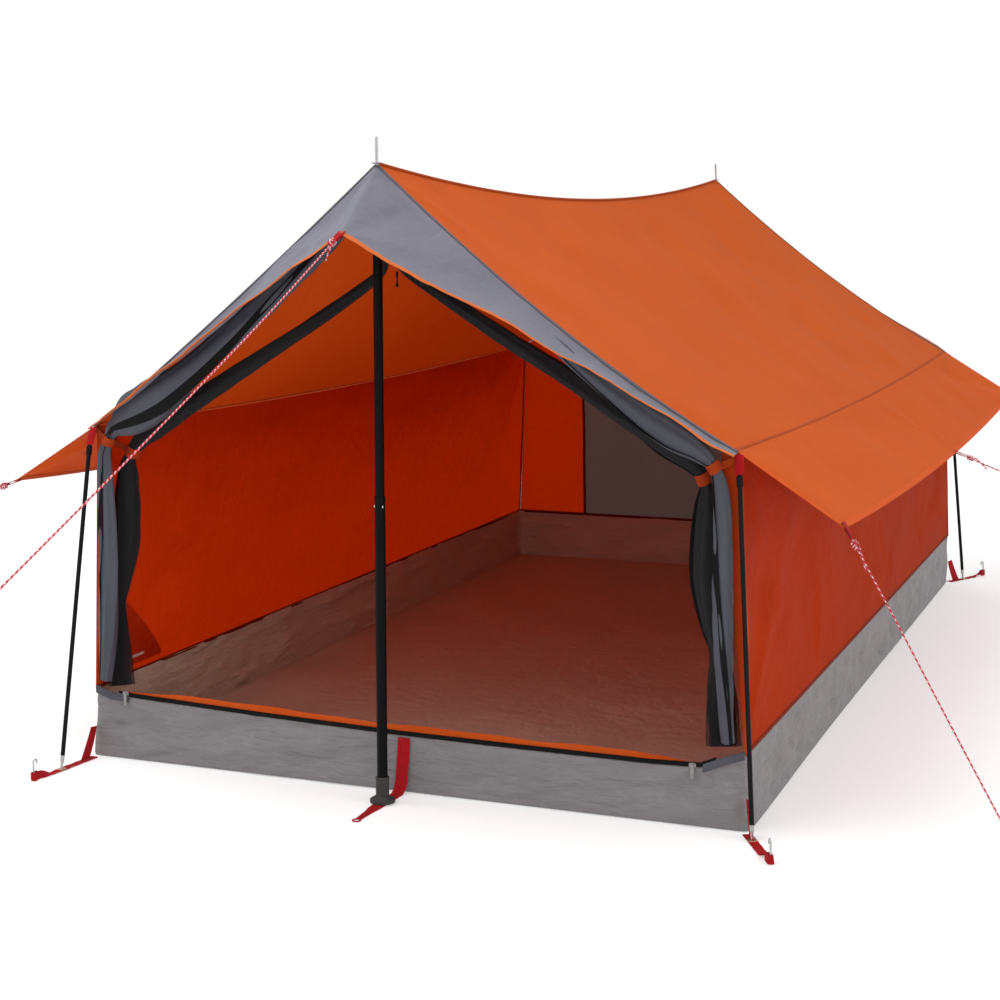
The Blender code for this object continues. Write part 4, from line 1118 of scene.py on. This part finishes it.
FOOT_Y = {"front": -1.276, "rear": 1.262}
for end, foot_y in FOOT_Y.items():
    body = "upright_" + end
    for part, finish in (("_lower", POLE_PAINT), ("_upper", POLE_PAINT), ("_foot", RUBBER), ("_spike", STEEL)):
        wear(body + part, finish)
    foot = np.array((0.0, foot_y, 0.0))
    pole_way = unit(np.array(APEX[end]) - foot)
    for name, at, radius, height, finish, slot in (("collar", 0.556, 0.0099, 0.010, POLE_PAINT, "upright_black"),
                                                   ("boot_lip", 0.0475, 0.0127, 0.004, RUBBER, "foot_black")):
        t = np.linspace(-0.5, 0.5, 9)
        rod(f"upright_{end}_{name}", foot + pole_way * (at + height * t[:, None]),
            radius * (0.955 + 0.045 * np.cos(np.pi * t)), 28, finish, body)
    for label, side in (("left", -1), ("right", 1)):
        at = foot + pole_way * 0.543 + (side * 0.0078, -0.0052 * (1 if end == "front" else -1), 0)
        pebble(f"upright_{end}_button_{label}", at, (0.0019, 0.0019, 0.0026), 1.0, STEEL, body, 10, 14)


def eyelet(name, centre, way, hole, rim, finish):
    """A pressed ring: a half-round profile turned about way, the crown highest a third of the way out."""
    way = unit(np.array(way, float))
    over = unit(np.cross(way, (0.0, 1.0, 0.3)))
    third = np.cross(way, over)
    turn = np.linspace(0, 2 * np.pi, 36, endpoint=False)
    angle = np.linspace(0, 2 * np.pi, 14, endpoint=False)
    out = (hole + rim) / 2 + (rim - hole) / 2 * np.cos(angle)
    high = 0.0013 * np.sin(angle) * (1 - 0.3 * np.cos(angle))
    ring = np.cos(turn)[:, None] * over + np.sin(turn)[:, None] * third
    grid = np.array(centre) + out[None, :, None] * ring[:, None] + high[None, :, None] * way
    grid = np.concatenate([grid, grid[:1]], 0)
    return skin(name, grid, finish, "tent", True, False)


BRASS = worn_metal("eyelet_brass", (0.62, 0.42, 0.27), (0.38, 0.25, 0.15), 0.30, 800.0)
for end, (x, y, z) in APEX.items():
    eyelet("roof_eyelet_" + end, (x, y, z + 0.0015), (0.0, 0.02, 1.0), 0.0042, 0.0098, STEEL)
wear("door_zip_pull", ZIP_TAPE)

# ---------------- corner poles, straps and pegs
# Slim black glass-fibre rods hold up the eave corners. Each stands on a steel tip in a brass
# eyelet of the red strap from the floor's corner, and the strap's end is looped over a wire peg.
# Each strap's side and end of the tent, its bearing from straight ahead, its length, and how far
# along it the pole stands.
CORNERS = {
    "front_left": (-1, -1, 6.0, 0.190, 0.102),
    "front_right": (1, -1, 28.0, 0.160, 0.036),
    "rear_left": (-1, 1, 29.0, 0.166, 0.064),
    "rear_right": (1, 1, 29.0, 0.166, 0.064),
}


def red_strap(name, edge_a, edge_b, thick=0.0014):
    """A length of the red webbing between two lines."""
    return band(name, edge_a, edge_b, thick, RED_WEBBING, "tent")


for label, (side, end, degrees, length, foot_at) in CORNERS.items():
    for part, finish in (("corner_pole_", FIBREGLASS), ("corner_tip_", STEEL), ("peg_", STEEL)):
        wear(part + label, finish)
    bearing = math.radians(degrees)
    ahead_of = np.array((side * math.sin(bearing), end * math.cos(bearing), 0.0))
    across = np.cross(ahead_of, (0.0, 0.0, 1.0))
    up = np.array((0.0, 0.0, 1.0))
    corner = np.array((side * HALF_WIDE, end * HALF_LONG, 0.0))
    start = corner + ahead_of * 0.0075
    # along the ground, then turned up on edge, round the peg and back
    t = np.linspace(0, 1, 130)
    peg_at, bend = length - 0.007, 0.0050
    swing = np.pi * np.clip((t - 0.80) / 0.14, 0, 1) - np.pi / 2
    out = np.where(t < 0.80, 0.002 + (length - 0.0145 + 0.0055) * t / 0.80, peg_at + bend * np.cos(swing))
    aside = np.where(t < 0.80, -bend * np.clip((t - 0.55) / 0.25, 0, 1) ** 2, bend * np.sin(swing))
    middle = start + ahead_of * out[:, None] + across * aside[:, None]
    tail = np.clip((t - 0.94) / 0.06, 0, 1)
    middle -= ahead_of * (0.016 * tail)[:, None]
    roll = 0.5 * np.pi * np.clip((t - 0.56) / 0.18, 0, 1)
    roll = roll - 0.18 * np.sin(np.pi * np.clip((t - 0.5) / 0.4, 0, 1))
    half = 0.0090 - 0.0012 * np.clip((t - 0.5) / 0.2, 0, 1)
    width_way = np.cos(roll)[:, None] * across + np.sin(roll)[:, None] * up
    rise = 0.0011 + half * np.abs(np.sin(roll)) + 0.0010 * np.sin(t * 23) ** 2 * np.clip(bow(t), 0, 1)
    middle = middle + up * rise[:, None]
    across_strap = width_way * half[:, None]
    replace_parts(red_strap("strap_band_" + label, middle - across_strap, middle + across_strap), "strap_" + label)
    s = np.linspace(0, 1, 24)[:, None]
    inner = corner + ahead_of * (0.0010 + 0.024 * s**1.3) + up * (0.061 - 0.058 * s)
    outer = corner + ahead_of * (0.0190 + 0.034 * s**1.1) + up * (0.063 - 0.060 * s)
    red_strap("strap_gusset_" + label, inner, outer)
    eyelet("strap_eyelet_" + label, start + ahead_of * foot_at + (0, 0, 0.0022), up, 0.0036, 0.0088, BRASS)
    cap = np.array((side * 0.637, end * 1.222, 0.618))
    s = np.linspace(0, 1, 30)[:, None]
    hang = cap + (0, 0, 0.004) + np.array((-side * 0.004, -end * 0.012, 0.032)) * s
    red_strap("corner_loop_" + label, hang - (0.008, 0, 0), hang + (0.008, 0, 0), 0.0012)

for label, end, top_z in (("front", -1, 0.104), ("rear", 1, 0.130)):
    reach = abs(FOOT_Y[label])
    route = smooth_line(((0.012, end * 1.2056, top_z, 0.012), (0.009, end * 1.2062, top_z * 0.5, 0.012),
                         (0.006, end * 1.2090, 0.016, 0.012), (0.004, end * 1.2190, 0.0024, 0.012),
                         (0.003, end * 1.2400, 0.0012, 0.012), (0.0, end * (reach + 0.030), 0.0012, 0.012),
                         (0.0, end * (reach + 0.060), 0.0012, 0.0085),
                         (0.0, end * (reach + 0.104), 0.0014, 0.0060)), 110)
    middle, half = route[:, :3], route[:, 3:]
    across = np.array((1.0, 0.0, 0.0))
    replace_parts(red_strap("strap_band_centre_" + label, middle - across * half, middle + across * half),
                "strap_centre_" + label)
    turn = np.linspace(-np.pi / 2, 1.5 * np.pi, 60)[:, None]
    ring = np.cos(turn) * across + np.sin(turn) * (0, 1, 0)
    ring = np.array((0.0, end * (reach + 0.1115), 0.0016)) + 0.0070 * ring
    rod("strap_end_loop_" + label, ring, 0.0013, 10, RED_WEBBING, "tent")
